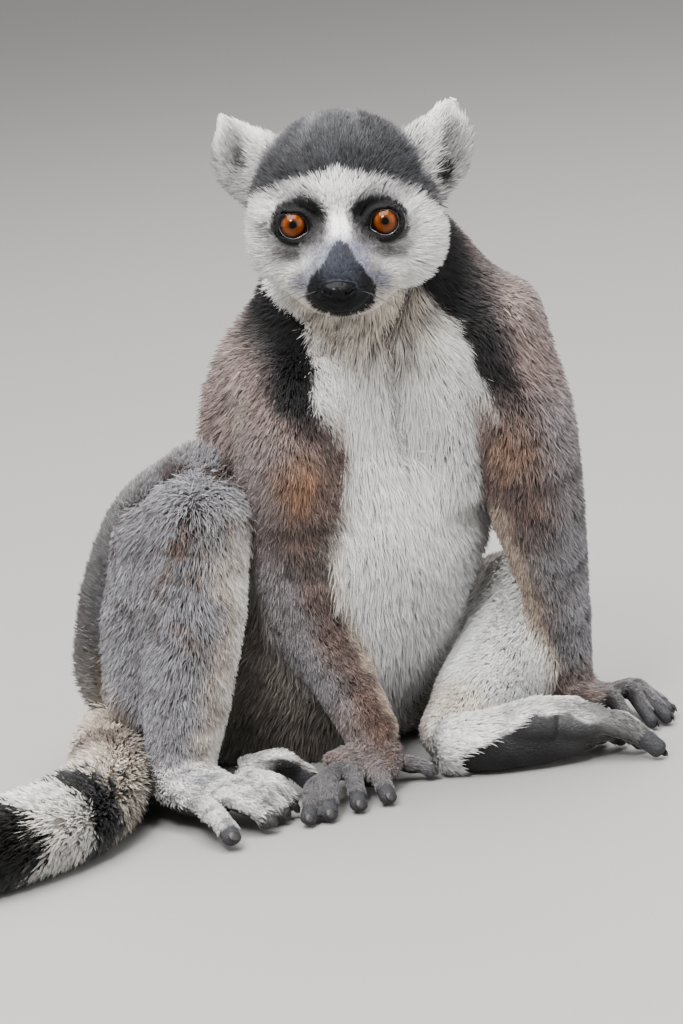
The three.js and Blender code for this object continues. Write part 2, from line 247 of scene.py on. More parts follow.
PARTS = {
    "trunk": tube(
        [
            (21, -20, 242, 38, 28, 6),
            (23.5, -5, 220, 48, 38, 8),
            (17, 8, 195, 53, 46, 9.5),
            (4, 25, 160, 62.5, 56, 10.5),
            (4, 37, 120, 69, 58, 10.5),
            (-9, 53, 78, 62, 61, 9.5),
            (-26, 71, 42, 58, 58, 9),
            (-34, 80, 20, 54, 52, 8),
        ],
        side_end=ACROSS_HIPS,
        blend=14,
    ),
    "arm_right": tube(
        [
            (-11, -17, 186, 24, 26, 7.5),
            (-17, -19, 156, 23, 25, 6.5),
            (-21, 0, 112, 20, 21, 5),
            (-15, 1, 66, 16, 16, 4),
            (1, -11, 24, 12.5, 12, 3.5),
        ],
        blend=16,
    ),
    "arm_left": tube(
        [
            (72, -3, 196, 24, 28, 6.5),
            (82, -4, 160, 23.5, 26, 6.5),
            (85, 11, 112, 22, 22, 5),
            (90, 30, 64, 15, 16, 4),
            (92, 46, 22, 11, 11, 3.2),
        ],
        blend=18,
    ),
    "shoulder_left": tube([(38, 0, 216, 30, 30, 6.5), (70, -2, 192, 25, 28, 6)], side=(0, 0, 1), blend=18),
    "breast_left": tube(
        [(40, -4, 202, 25, 24, 9), (49, 0, 170, 24, 25, 9), (48, 12, 132, 20, 22, 9)],
        blend=16,
    ),
    "calf": tube([(-72, 2, 118, 27, 26, 6.5), (-80, 8, 82, 30, 28, 7.5), (-88, 12, 48, 27, 26, 6.5)], blend=20),
    "hand_right": tube(
        [(3, -13, 15, 12, 10, 2.5), (-1, -22, 13, 15, 9, 1.8), (-7, -30, 12, 18, 8, 1.5)],
        side=RIGHT_HAND_SIDE,
        blend=6,
    ),
    "hand_left": tube(
        [(91, 46, 15, 11, 10, 2.2), (97, 43, 13, 14, 9, 1.8), (104, 41, 11, 16, 8, 1.5)],
        side=LEFT_HAND_SIDE,
        blend=6,
    ),
    "thigh_right": tube(
        [
            (-58, 2, 138, 22, 22, 6),
            (-73, 20, 114, 33, 32, 7.5),
            (-81, 44, 78, 42, 42, 9),
            (-82, 64, 50, 48, 46, 9),
        ],
        side=ACROSS_HIPS,
        blend=16,
        flow=-1,
    ),
    "thigh_left": tube(
        [(80, 76, 50, 27, 27, 6), (42, 70, 38, 34, 36, 7.5), (4, 74, 34, 38, 36, 8)],
        blend=14,
        flow=-1,
    ),
    "shank_right": tube(
        [
            (-61, -13, 131, 23, 24, 6),
            (-68, -14, 92, 24, 26, 6.5),
            (-76, -16, 52, 20, 24, 6),
            (-82, -18, 26, 16, 20, 3.5),
        ],
        blend=12,
    ),
    "shank_left": tube(
        [
            (80, 65, 51, 27, 28, 6),
            (66, 42, 37, 26, 27, 6),
            (50, 18, 24, 21, 22, 4.5),
            (36, 0, 15, 15, 15, 4),
        ],
        blend=12,
    ),
    "foot_right": tube(
        [
            (-92, -2, 13, 13, 13, 3.5),
            (-86, -22, 15, 16, 14, 3.5),
            (-77, -40, 14, 17, 13, 3),
            (-68, -50, 12, 16, 10, 2.5),
        ],
        side=RIGHT_FOOT_SIDE,
        blend=8,
    ),
    "foot_left": tube(
        [
            (36, -12, 13, 14, 12, 2.5),
            (54, -18, 14, 15, 11, 2),
            (74, -19, 16, 16, 9, 1.6),
            (90, -18, 16, 14, 8, 1.5),
        ],
        side=LEFT_FOOT_SIDE,
        blend=8,
    ),
    "tail": tube(
        [
            (-86, 100, 32, 17, 17, 4.5),
            (-104, 68, 22, 18, 18, 6),
            (-113, 26, 20, 20, 20, 7.5),
            (-113, -18, 20, 21, 21, 8),
            (-121, -58, 20, 21, 21, 9),
            (-143, -92, 20, 21, 21, 9),
            (-182, -114, 20, 21, 21, 9),
            (-226, -106, 20, 21, 21, 9),
            (-256, -72, 20, 21, 21, 9.5),
            (-266, -26, 20, 20, 20, 9.5),
            (-259, 20, 19, 20, 20, 9.5),
            (-236, 60, 17, 18, 18, 9),
            (-203, 88, 14, 14, 14, 7.5),
        ],
        side=(0, 0, 1),
        blend=4,
    ),
}

PARTS["foot_left_1"] = tube(
    [(65, -23, 21, 7.5, 7, 1), (78, -24.5, 21, 8, 7, 1)], side=LEFT_FOOT_SIDE, blend=2
)
PARTS["foot_left_2"] = tube(
    [(86, -23, 18, 6.5, 6.5, 1), (95, -23, 17, 6, 6, 1)], side=LEFT_FOOT_SIDE, blend=2
)
# A digit is (root, knuckle, tip, radius, pad radius); the first of each five is the thumb or the big toe.
DIGITS = {
    "finger_right": [
        [(9, -15, 10), (17, -17, 7.5), (25, -19, 4), 4, 4],
        [(2, -22, 13), (1, -34, 11.5), (5, -51, 4), 4.2, 4.8],
        [(-5, -26, 14), (-9, -38, 13), (-8, -57, 4), 4.2, 4.8],
        [(-11, -31, 14), (-19, -45, 14), (-21, -66, 4), 4.2, 4.8],
        [(-17, -34, 12), (-26, -50, 12), (-30, -69, 4), 4, 4.5],
    ],
    "finger_left": [
        [(96, 36, 9), (99, 26, 7), (103, 16, 4), 4, 4],
        [(101, 36, 12), (108, 31, 14), (116, 16, 4), 4, 4.5],
        [(105, 39, 12), (117, 35, 15), (125, 18, 4), 4, 4.5],
        [(107, 44, 12), (121, 41, 14), (132, 23, 4), 4, 4.5],
        [(107, 50, 11), (120, 50, 12), (134, 35, 4), 4, 4.5],
    ],
    "toe_right": [
        [(-54, -24, 17), (-40, -29, 19), (-27, -25, 7.5), 6, 6.5],
        [(-56, -44, 18), (-44, -55, 17), (-37, -53, 7), 5.2, 5.8],
        [(-61, -50, 17), (-50, -62, 15), (-41, -61, 6), 5.2, 5.8],
        [(-68, -55, 15), (-56, -68, 13), (-47, -72, 6), 5.3, 6],
        [(-76, -55, 13), (-70, -75, 12), (-63, -91, 6), 5.5, 6],
    ],
    "toe_left": [
        [(60, -18, 21), (80, -19, 23), (100, -20, 20), 6, 6],
        [(90, -19, 20), (109, -23, 16), (124, -30, 5), 5.5, 5],
        [(90, -17, 17), (105, -15, 15), (118, -15, 5), 5, 5],
        [(88, -16, 11), (100, -10, 11), (110, -4, 5), 5, 5],
        [(84, -14, 8), (94, -5, 7), (102, 3, 5), 5, 5],
    ],
}
DIGIT_COAT = {"finger_right": 0.8, "finger_left": 0.8, "toe_right": 1.6, "toe_left": 0.8}
DIGIT_SIDE = {
    "finger_right": RIGHT_HAND_SIDE,
    "finger_left": LEFT_HAND_SIDE,
    "toe_right": RIGHT_FOOT_SIDE,
    "toe_left": LEFT_FOOT_SIDE,
}
KNUCKLE_SWELL = 1.12
for limb, digits in DIGITS.items():
    for number, (root, knuckle, tip, radius, pad) in enumerate(digits, 1):
        coat = DIGIT_COAT[limb]
        slim = (radius + pad) / 2 * 0.93
        middle = (np.array(knuckle) + tip) / 2 + (0, 0, 1)
        stations = [
            (*root, radius, radius, coat),
            (*knuckle, radius * KNUCKLE_SWELL, radius * KNUCKLE_SWELL, coat),
            (*middle, slim, slim, coat),
            (*tip, pad, pad * 0.85, coat),
        ]
        PARTS[f"{limb}_{number}"] = tube(stations, side=DIGIT_SIDE[limb], blend=2.5, dome=0.9)

EAR_SLOPE, EAR_HANDS = (0.83, 0.56), {"right": -1, "left": 1}
for name, hand in EAR_HANDS.items():
    stations = [
        (*from_head((hand * across, forward, up + rise * hand)), wide, deep, coat)
        for across, forward, up, rise, wide, deep, coat in (
            (29, -10, 8, 0, 18, 9, 4.5),
            (39, -13, 16, 1, 17.5, 9, 5),
            (45.5, -17, 25, 2, 12.5, 7, 4.4),
            (48.5, -20, 32, 3, 4.5, 4.2, 3.0),
        )
    ]
    slope = -EAR_SLOPE[0] * hand * HEAD_ACROSS + EAR_SLOPE[1] * HEAD_UP
    PARTS[f"ear_{name}"] = tube(stations, side=slope, blend=5, dome=0.5)

HEAD_BALLS = [
    ((0, -5, 3), (38.5, 39, 36)),
    ((-21.5, 3, -13), (20.5, 27, 24)),
    ((23.5, 3, -13), (22, 27, 24)),
    ((0, 20, -22), (25, 26, 17)),
    ((-0.8, 38, -7), (15.5, 24, 15)),
    ((-0.8, 56, -10.5), (13, 14, 11.5)),
]
HEAD_BLEND = 10.0
LID = 1.15  # how far the lids stand off the eyeball
GAZE = unit(to_head(CAMERA_AT)[None])[0]
FACE_AT = np.array([-0.8, 25.0, 2.9])
FACE_ACROSS = unit(np.array([1.0, 0, 0]) - GAZE * GAZE[0])
FACE_UP = np.cross(FACE_ACROSS, GAZE)


def ball_distance(p, at, radii):
    """Distance from points to an oval ball."""
    off = (p - np.array(at, float)) / radii
    length = np.linalg.norm(off, axis=1) + 1e-9
    return length * (length - 1) / (np.linalg.norm(off / radii, axis=1) + 1e-9)


def ramp(x, start, end):
    """0 before start, 1 after end, and smooth between."""
    x = np.clip((x - start) / (end - start), 0, 1)
    return x * x * (3 - 2 * x)


INNER_CORNER = {"right": math.radians(-25), "left": math.radians(205)}


def lid_opening(turn, name):
    """Half angle of the gap between an eye's lids: round, flatter above, and drawn out at the inner corner."""
    inner = np.angle(np.exp(1j * (turn - INNER_CORNER[name])))
    return 0.76 - 0.13 * np.maximum(np.sin(turn), 0) ** 2 + 0.15 * np.exp(-((inner / 0.28) ** 2))


def eye_polar(h, name):
    """Distance from an eye's centre, angle off its gaze, and turn round its gaze."""
    off = h - np.array(EYES[name])
    far = np.maximum(np.linalg.norm(off, axis=1), 1e-6)
    angle = np.arccos(np.clip(off @ GAZE / far, -1, 1))
    return far, angle, np.arctan2(off @ FACE_UP, off @ FACE_ACROSS)


def head_coat(h):
    """The coat's depth at points of the head: next to nothing on the muzzle, deep on the cheeks."""
    front = ramp(h[:, 1], 16, 46)
    cheek = ramp(np.abs(h[:, 0]), 16, 32) * ramp(-h[:, 2], -6, 12)
    return (5.5 + 4.5 * cheek) * (1 - front) + 1.0 * front


def head_distance(p, inset):
    """Distance from drawing-frame points to the head, its surface lowered by `inset` coats."""
    h = to_head(p)
    d = None
    for at, radii in HEAD_BALLS:
        ball = ball_distance(h, at, np.array(radii, float))
        d = ball if d is None else merge(d, ball, HEAD_BLEND)
    if not inset:
        return d
    d = d + inset * head_coat(h)
    mouth = h[:, 2] + 18.6 - 0.012 * h[:, 0] ** 2
    d = d + 0.9 * np.exp(-((mouth / 0.8) ** 2)) * ramp(h[:, 1], 44, 52)
    for name in EYES:
        far, angle, turn = eye_polar(h, name)
        opening = lid_opening(turn, name)
        lids = np.maximum(far - EYE_RADIUS - LID, (opening - angle) * far)
        d = merge(d, lids, 8.0)
        upper = ramp(np.sin(turn), -0.35, 0.45) * (far < 15)
        for place, deep in ((0.27, 0.55), (0.53, 0.4)):
            fold = np.exp(-(((angle - opening - place - 0.06 * np.sin(turn)) / 0.075) ** 2))
            d = d + deep * fold * upper
        d = np.maximum(d, EYE_RADIUS + 0.1 - far)
        d = np.maximum(d, -np.maximum((angle - opening) * far, far - 13))
    return d


HEAD_BOX = (HEAD_AT - 95, HEAD_AT + 95)
FLOOR_GAP = 1.0
CELL, CELLS_BELOW, CELLS_ACROSS = 8.0, 500, 1000
CELL_KEY = np.array([CELLS_ACROSS**2, CELLS_ACROSS, 1])
PART_ORDER = ["trunk", "head", *(name for name in PARTS if name != "trunk")]


def part_distance(name, p, inset):
    """Distance from points to one part."""
    return head_distance(p, inset) if name == "head" else tube_distance(PARTS[name], p, inset)


def near_parts(p, inset):
    """For each part, the points for which it may be the nearest, judged by the cells that they lie in."""
    cells = np.floor(p / CELL).astype(np.int64) + CELLS_BELOW
    keys, cell_of = np.unique(cells @ CELL_KEY, return_inverse=True)
    centres = (keys[:, None] // CELL_KEY % CELLS_ACROSS - CELLS_BELOW + 0.5) * CELL
    rough = np.full((len(PART_ORDER), len(centres)), 1e3)
    for row, name in zip(rough, PART_ORDER):
        box = HEAD_BOX if name == "head" else PARTS[name]["box"]
        inside = ((centres > box[0] - CELL) & (centres < box[1] + CELL)).all(1)
        row[inside] = part_distance(name, centres[inside], inset)
    reach = rough.min(0) + 2 * CELL + 16
    return {name: np.flatnonzero((row < reach)[cell_of]) for name, row in zip(PART_ORDER, rough)}


CREASE_X, CREASE_Z = [25, 29, 35, 44, 51], [120, 205, 214, 231, 238]


def crease(p):
    """1 in the crease that runs down the middle of the chest from a fold of the neck, 0 away from it."""
    off = p[:, 0] - np.interp(p[:, 2], CREASE_Z, CREASE_X)
    return np.exp(-((off / 2.6) ** 2)) * ramp(p[:, 2], 125, 175) * (1 - ramp(p[:, 2], 228, 240)) * (p[:, 1] < 10)


def body_distance(p, inset=1.0):
    """Distance from points to the whole body: the skin's with inset 1, the coat's outline with inset 0."""
    d = np.full(len(p), 60.0)
    for name, near in near_parts(p, inset).items():
        if len(near):
            blend = 14.0 if name == "head" else PARTS[name]["blend"]
            blend = blend if inset else blend * 0.7
            d[near] = merge(d[near], part_distance(name, p[near], inset), blend)
    d = d + 3.2 * crease(p)
    return np.maximum(d, FLOOR_GAP * inset - p[:, 2])


# ---------------------------------------------------------------- skin
# One hide over the whole animal, bare only on the eyelids, muzzle, palms, soles and finger pads.
# It is the zero level of the body's distance, meshed on a fine grid and drawn onto that level exactly.

def level_surface(distance, low, high, step, evenness):
    """Points and triangles where distance(points) is 0, inside a box, from a grid of the given step.

    The distance is sampled at the middles of blocks of cells first, and then in full in blocks near the surface.
    """
    block, band = 4, 3.0 * step
    count = np.ceil((np.array(high) - low) / (step * block)).astype(int)
    corners = np.indices(count).reshape(3, -1).T * block
    middles = low + (corners + (block - 1) / 2) * step
    rough = distance(middles)
    near = np.abs(rough) < step * block * 1.1
    values = np.where(rough < 0, -band, band).astype(np.float32)
    field = values.reshape(count).repeat(block, 0).repeat(block, 1).repeat(block, 2)
    inner = np.indices((block,) * 3).reshape(3, -1).T
    cells = (corners[near][:, None] + inner).reshape(-1, 3)
    field[tuple(cells.T)] = np.clip(distance(low + cells * step), -band, band)
    grid = openvdb.FloatGrid(band)
    grid.copyFromArray(field)
    points, triangles, quads = grid.convertToPolygons(0.0, evenness)
    triangles = np.concatenate([triangles.reshape(-1, 3), quads[:, [0, 1, 2]], quads[:, [0, 2, 3]]])
    return low + points * step, triangles[:, ::-1].astype(int)


def slopes(distance, p, reach=0.3):
    """The distance and its upward direction at points, from four samples round each."""
    corners = np.array([(1, 1, 1), (1, -1, -1), (-1, 1, -1), (-1, -1, 1)]) * reach
    samples = [distance(p + corner) for corner in corners]
    slope = sum(corner * sample[:, None] for corner, sample in zip(corners, samples)) / (4 * reach * reach)
    return sum(samples) / 4, slope


def settled(distance, p, rounds, reach=0.3):
    """Points moved onto the zero level of distance."""
    for _ in range(rounds):
        d, slope = slopes(distance, p, reach)
        size = np.maximum((slope**2).sum(1), 0.2)
        p = p - slope * np.clip(d / size, -0.8, 0.8)[:, None]
    return p


def split_long(points, triangles, longest):
    """Triangles with every edge above `longest` (by place) cut at its middle."""
    edges = np.sort(triangles[:, [0, 1, 1, 2, 2, 0]].reshape(-1, 2), axis=1)
    pairs, which = np.unique(edges, axis=0, return_inverse=True)
    ends = points[pairs]
    long = np.linalg.norm(ends[:, 0] - ends[:, 1], axis=1) > longest(ends.mean(1))
    fresh = np.full(len(pairs), -1)
    fresh[long] = len(points) + np.arange(long.sum())
    points = np.concatenate([points, ends[long].mean(1)])
    middles = fresh[which.reshape(-1, 3)]
    cuts = (middles >= 0).sum(1)
    out = [triangles[cuts == 0]]
    for turn in range(3):
        rolled, mids = np.roll(triangles, -turn, 1), np.roll(middles, -turn, 1)
        one = (cuts == 1) & (mids[:, 0] >= 0)
        a, b, c = rolled[one].T
        m = mids[one, 0]
        out += [np.stack([a, m, c], 1), np.stack([m, b, c], 1)]
        two = (cuts == 2) & (mids[:, 2] < 0)
        a, b, c = rolled[two].T
        m, n = mids[two, 0], mids[two, 1]
        out += [np.stack([m, b, n], 1), np.stack([a, m, n], 1), np.stack([a, n, c], 1)]
    a, b, c = triangles[cuts == 3].T
    m, n, o = middles[cuts == 3].T
    out += [np.stack(t, 1) for t in ((a, m, o), (m, b, n), (o, n, c), (m, n, o))]
    return points, np.concatenate(out)


BARE_PARTS = ("hand", "finger", "foot", "toe")
SKIN_STEP = 1.4
LONGEST_EDGE = {"body": 5.0, "face": 1.5, "lids": 0.55, "paws": 1.9}


def skin_fineness(p):
    """The longest edge the skin may have: short on the face, hands and feet."""
    h = to_head(p)
    eyes = np.min([np.linalg.norm(h - np.array(eye), axis=1) for eye in EYES.values()], axis=0)
    longest = np.full(len(p), LONGEST_EDGE["body"])
    longest[(h[:, 1] > 20) & (np.linalg.norm(h, axis=1) < 85)] = LONGEST_EDGE["face"]
    longest[eyes < 12.5] = LONGEST_EDGE["lids"]
    for name, part in PARTS.items():
        if name.startswith(BARE_PARTS):
            inside = ((p > part["box"][0] + 6) & (p < part["box"][1] - 6)).all(1)
            longest[inside] = LONGEST_EDGE["paws"]
    return longest


def make_mesh(name, points, triangles, smooth=True):
    """A mesh from drawing-frame millimetres and triangles."""
    mesh = bpy.data.meshes.new(name)
    mesh.vertices.add(len(points))
    mesh.vertices.foreach_set("co", to_row(points).astype(np.float32).ravel())
    mesh.loops.add(3 * len(triangles))
    mesh.loops.foreach_set("vertex_index", triangles.astype(np.int32).ravel())
    mesh.polygons.add(len(triangles))
    mesh.polygons.foreach_set("loop_start", np.arange(0, 3 * len(triangles), 3, dtype=np.int32))
    mesh.update(calc_edges=True)
    mesh.polygons.foreach_set("use_smooth", np.full(len(triangles), smooth))
    piece = bpy.data.objects.new(name, mesh)
    bpy.context.scene.collection.objects.link(piece)
    return piece


BODY_LOW = np.array([-292.0, -136.0, -3.0])
BODY_HIGH = np.array([146.0, 136.0, 312.0])
skin_points, skin_triangles = level_surface(body_distance, BODY_LOW, BODY_HIGH, SKIN_STEP, 0.25)
for _ in range(3):
    skin_points, skin_triangles = split_long(skin_points, skin_triangles, skin_fineness)
skin_points = settled(body_distance, skin_points, 2)

# ---------------------------------------------------------------- markings
# The colours of skin and coat alike: white face and belly, grey cap, dark shoulders, rosy grey back and limbs,
# and a ringed tail. Each part's colours are worked out from where a point is on it, and mixed where parts meet.

WHITE, PALE, LIGHT, GREY = (0.97, 0.96, 0.94), (0.78, 0.77, 0.75), (0.52, 0.515, 0.53), (0.35, 0.34, 0.345)
ROSY, BROWN, DARK, BLACK = (0.53, 0.45, 0.42), (0.31, 0.255, 0.235), (0.17, 0.16, 0.16), (0.025, 0.025, 0.028)
TAN, RUST, BUFF, BEIGE = (0.60, 0.45, 0.34), (0.34, 0.225, 0.16), (0.70, 0.62, 0.53), (0.77, 0.70, 0.62)
SLATE, LAVENDER = (0.18, 0.19, 0.225), (0.4264, 0.4264, 0.4756)
LEATHER, PAD = (0.06, 0.055, 0.055), (0.19, 0.19, 0.20)
CAP, SHADOW, UMBER = (0.18, 0.18, 0.19), (0.432, 0.4068, 0.3744), (0.248, 0.204, 0.188)


def scatter(cells, seed):
    """A number from 0 to 1 for each whole-number cell, always the same one."""
    with np.errstate(over="ignore"):
        n = cells.astype(np.int64) @ np.array([73856093, 19349663, 83492791]) + seed * 7919
        n = (n ^ (n >> 13)) * 1274126177
        n = n ^ (n >> 16)
    return (n & 0xFFFF) / 65535.0


def cloud(p, size, seed=0):
    """Smooth noise from -1 to 1 with lumps of the given size in millimetres."""
    q = p / size
    base = np.floor(q)
    w = q - base
    w = w * w * (3 - 2 * w)
    total = 0
    for corner in np.ndindex(2, 2, 2):
        share = np.prod(np.where(corner, w, 1 - w), axis=1)
        total = total + share * scatter(base + corner, seed)
    return 2 * total - 1


def tint(colour, over, share):
    """colour with `over` laid on it by share, row by row."""
    share = np.reshape(np.clip(share, 0, 1), (-1, 1))
    return colour * (1 - share) + np.array(over) * share


def near(p, at, size, edge=0.35):
    """1 within an oval round a place, falling to 0 outside it."""
    far = np.linalg.norm((p - np.array(at, float)) / size, axis=1)
    return 1 - ramp(far, 1 - edge, 1 + edge)


def plain(colour, p):
    """The same colour at every point."""
    return np.tile(np.array(colour, float), (len(p), 1))


def face_plane(h):
    """Places across and up as seen from in front of the face, from the middle of the eyes."""
    off = h - FACE_AT
    return off @ FACE_ACROSS, off @ FACE_UP


def head_markings(p):
    """White face with a grey cap, black patches round the eyes and a slate muzzle."""
    h = to_head(p)
    x, y = face_plane(h)
    ragged = cloud(p, 5, 1) * 0.9 + cloud(p, 2, 2) * 0.7
    colour = plain(WHITE, p)
    colour = tint(colour, LIGHT, 0.08 * ramp(np.abs(x), 14, 30) * ramp(-y, -4, 8))
    colour = tint(colour, BEIGE, 0.5 * near(np.stack([x, y], 1), (0, -36), (34, 18)) * ramp(h[:, 1], 5, 25))
    colour = tint(colour, DARK, ramp(-h[:, 1] + 0.5 * h[:, 2] + ragged * 1.5, 8, 19) * ramp(-h[:, 1], -6, 6))
    edge = 18.6 - 0.0097 * x**2 + 2.0 * np.exp(-((x / 2.5) ** 2)) + ragged
    cap = ramp(y, edge - 1.0, edge + 2.0) * (1 - ramp(np.abs(x), 29, 34) * ramp(y, 12, 26))
    colour = tint(colour, CAP, cap * ramp(h[:, 1], -30, -5))
    colour = tint(colour, LIGHT, 0.35 * ramp(y, edge - 4, edge) * (1 - cap))
    for side, (mx, my) in {-1: (-19.25, -0.4), 1: (19.25, 0.2)}.items():
        u = (x - mx) * side
        v = y - my
        patch = np.sqrt(np.maximum(((u + 3.4) / 11.2) ** 2 + ((v - 0.6) / 9.4) ** 2 + 0.16 * u * v / 105, 0))
        colour = tint(colour, GREY, 0.75 * (1 - ramp(patch + ragged * 0.06, 0.95, 1.3)))
        for place, share in (((-4.0, -9.8), 0.8), ((-2, 9.5), 0.6)):
            colour = tint(colour, GREY, share * near(np.stack([u, v], 1), place, (9.5, 5.5), 0.6))
        colour = tint(colour, BLACK, 0.96 * (1 - ramp(patch + ragged * 0.05, 0.84, 1.06)))
        colour = tint(colour, DARK, 0.8 * near(np.stack([u, v], 1), (-9.6, -4.6), (5.2, 6.0), 0.5))
        colour = tint(colour, BLACK, 1 - ramp(np.hypot(u, v) + ragged * 0.2, 8.0, 9.3))
    half = np.interp(-y, [8.4, 9.6, 14, 18.6, 22, 26, 30, 34, 37.5], [0, 3.0, 4.9, 7.6, 10.9, 13.3, 13, 9.8, 0])
    inside = half - np.abs(x - 0.3) + ragged * 0.25
    front = ramp(h[:, 1], 26, 34)
    beside = ramp(inside, -10, -2) * ramp(-y, 3, 11) * (1 - ramp(-y, 24, 32))
    colour = tint(colour, LAVENDER, 0.95 * beside * front)
    slate = ramp(inside, -0.5, 0.6) * ramp(h[:, 1], 30, 36)
    colour = tint(colour, SLATE, slate)
    side = ramp(np.abs(x - 0.3), 5.0, 9.5) * ramp(-y, 15, 21)
    return tint(colour, BLACK, slate * (0.1 + 0.72 * np.maximum(side, ramp(-y, 26, 31))))


def tan_patches(p):
    """How tan the coat is at points: an uneven patch at each elbow's height beside the chest."""
    q = p + np.stack([cloud(p, 9, 19), cloud(p, 9, 22), cloud(p, 9, 23)], 1) * 5
    right, left = near(q, (-15, -40, 147), (8, 24, 13), 0.5), near(q, (75, -22, 144), (7, 24, 12), 0.5)
    return np.maximum(right, 0.6 * left) * (0.6 + 0.3 * cloud(p, 3, 24))


def trunk_markings(p):
    """White in front, dark bands from the neck down to each side of the chest, and a rosy grey back, with painted
    shade low on the belly, on the chest's left side, in the throat's folds and in the chest's crease.
    """
    x, y, z = p.T
    ragged = cloud(p, 9, 3) * 2.5 + cloud(p, 3, 4) * 1.5
    right = np.interp(z, [40, 95, 120, 132, 154, 179, 213, 222, 235], [-65, -62, -10, -4, 2, -6, -3, -14, -45])
    right = right + ragged
    left = np.interp(z, [80, 121, 165, 192, 215, 235], [66, 70, 73, 62, 47, 41]) + ragged
    front = np.interp(z, [20, 60, 120, 160, 195, 220], [62, 44, 24, 14, 4, -6])
    colour = tint(plain(ROSY, p), GREY, 0.22 + 0.2 * cloud(p, 30, 5))
    colour = tint(colour, BUFF, 0.6 * (1 - ramp(z, 25, 90)))
    colour = tint(colour, LIGHT, 0.7 * ramp(-x, 70, 100) * (1 - ramp(z, 90, 130)))
    colour = tint(colour, GREY, 0.7 * ramp(z, 190, 225) * ramp(y, -10, 10))
    outer = np.maximum(right - x, x - left)
    band = np.interp(z, [150, 165, 190, 215, 240], [3, 8, 12, 19, 24])
    dark = (1 - ramp(outer + ragged * 0.4, band * 0.8, band * 1.7)) * ramp(z + ragged, 148, 162)
    dark = dark * (1 - 0.8 * ramp(z, 215, 235) * ramp(y, -22, -4))
    colour = tint(colour, DARK, dark * (1 - ramp(y, 8, 32)))
    deep = np.where(x > 24, 0.4, 0.9) * (1 - ramp(outer, band * 0.4, band * 1.1)) * (1 - ramp(y, 0, 22))
    colour = tint(colour, BLACK, dark * deep * ramp(z, 165, 200))
    white = (1 - ramp(outer, -2, 1.5)) * (1 - ramp(y, front, front + 8))
    colour = tint(colour, WHITE, white)
    colour = tint(colour, BEIGE, 0.55 * white * near(p, (22, -40, 222), (34, 40, 28), 0.5))
    # Painted shade: the white greyer low on the belly.
    colour = tint(colour, LIGHT, 0.42 * white * (1 - ramp(z, 60, 140)))
    # Painted shade: the white greyer towards the left side of the chest, under the arm.
    colour = tint(colour, LIGHT, 0.35 * white * ramp(x, 40, 60) * (1 - ramp(z, 190, 215)))
    # Painted shade in the folds of the white fur on the throat.
    folds = 1 - ramp(np.abs(cloud(p * (1, 0.6, 1.5), 15, 27) + 0.15 * cloud(p, 4, 28)), 0.0, 0.16)
    colour = tint(colour, GREY, 0.5 * white * folds * near(p, (24, -40, 210), (36, 50, 26), 0.5))
    # Painted shade along the crease down the chest, deeper towards the neck.
    colour = tint(colour, DARK, white * crease(p) * (0.4 + 0.5 * ramp(z, 180, 208)))
    # Painted shade on the low belly between the right leg and the right arm.
    under = (1 - ramp(z, 85, 120)) * (1 - ramp(x, -16, 4)) * (1 - ramp(y, 40, 60))
    colour = tint(colour, SHADOW, 0.9 * under)
    return tint(colour, TAN, tan_patches(p))


# How each arm is marked, with the shares of painted shade in its creases and finer folds.
ARM_LOOKS = {
    1: {"brown": 0.35, "edge": 0.45, "grey": 0.6, "grey_from": (-0.3, 0.4), "inner": (0.72, 0.95)}
    | {"creases": 0.95, "streaks": 0.6, "wrinkle_shade": 0.45},
    -1: {"brown": 0.15, "edge": 0.7, "grey": 0.85, "grey_from": (-1.0, 0.0), "inner": (0.4, 0.8)}
    | {"creases": 0.6, "streaks": 0.4, "wrinkle_shade": 0.3},
}


def rings_round(t, x, y, size, seed, start=0):
    """Lumpy rings round a limb, wider across it than along it, from -1 to 1."""
    return cloud(np.stack([t * 190 + start, x * 5, y * 5], 1), size, seed)


def arm_markings(p, t, x, y, side):
    """Rosy grey above, grey outside and brown in front below with painted shade in its creases, pale along the
    inner edge.
    """
    ragged = cloud(p, 6, 6) * 0.18
    outside = -x * side
    look = ARM_LOOKS[side]
    colour = tint(plain(ROSY, p), BROWN, 0.3 + 0.25 * cloud(p, 14, 7) + look["brown"] * ramp(t, 0.3, 0.5))
    colour = tint(colour, LIGHT, look["edge"] * ramp(outside + ragged, 0.0, 0.6))
    colour = tint(colour, LIGHT, ramp(t, 0.42, 0.6) * look["grey"] * ramp(outside + ragged, *look["grey_from"]))
    # Painted shade, brown, in the creases across the forearm.
    creases = ramp(rings_round(t, x, y, 7.5, 8), -0.1, 0.4) * ramp(t, 0.3, 0.42) * (1 - ramp(t, 0.72, 0.88))
    colour = tint(colour, BROWN, look["creases"] * creases * (1 - ramp(outside, 0.3, 0.8)))
    streaks = ramp(rings_round(t, x, y, 5.5, 33, 40), 0.15, 0.6) * ramp(t, 0.3, 0.45) * (1 - ramp(t, 0.8, 0.95))
    colour = tint(colour, DARK, look["streaks"] * streaks)
    # Painted shade, dark, in finer folds across the forearm.
    wrinkle_shade = 1 - ramp(np.abs(rings_round(t, x, y, 6.5, 34)), 0.04, 0.26)
    wrinkle_shade = wrinkle_shade * ramp(t, 0.3, 0.42) * (1 - ramp(t, 0.7, 0.85)) * (1 - ramp(outside, 0.2, 0.7))
    colour = tint(colour, DARK, look["wrinkle_shade"] * wrinkle_shade)
    colour = tint(colour, BEIGE, 0.75 * ramp(t, 0.4, 0.5) * ramp(-outside + ragged, *look["inner"]))
    colour = tint(colour, PALE, ramp(t, 0.2, 0.45) * ramp(-y + ragged, 0.3, 0.8))
    colour = tint(colour, TAN, tan_patches(p))
    return tint(colour, RUST, 0.3 * ramp(t, 0.86, 0.97) * ramp(y, -0.2, 0.5))


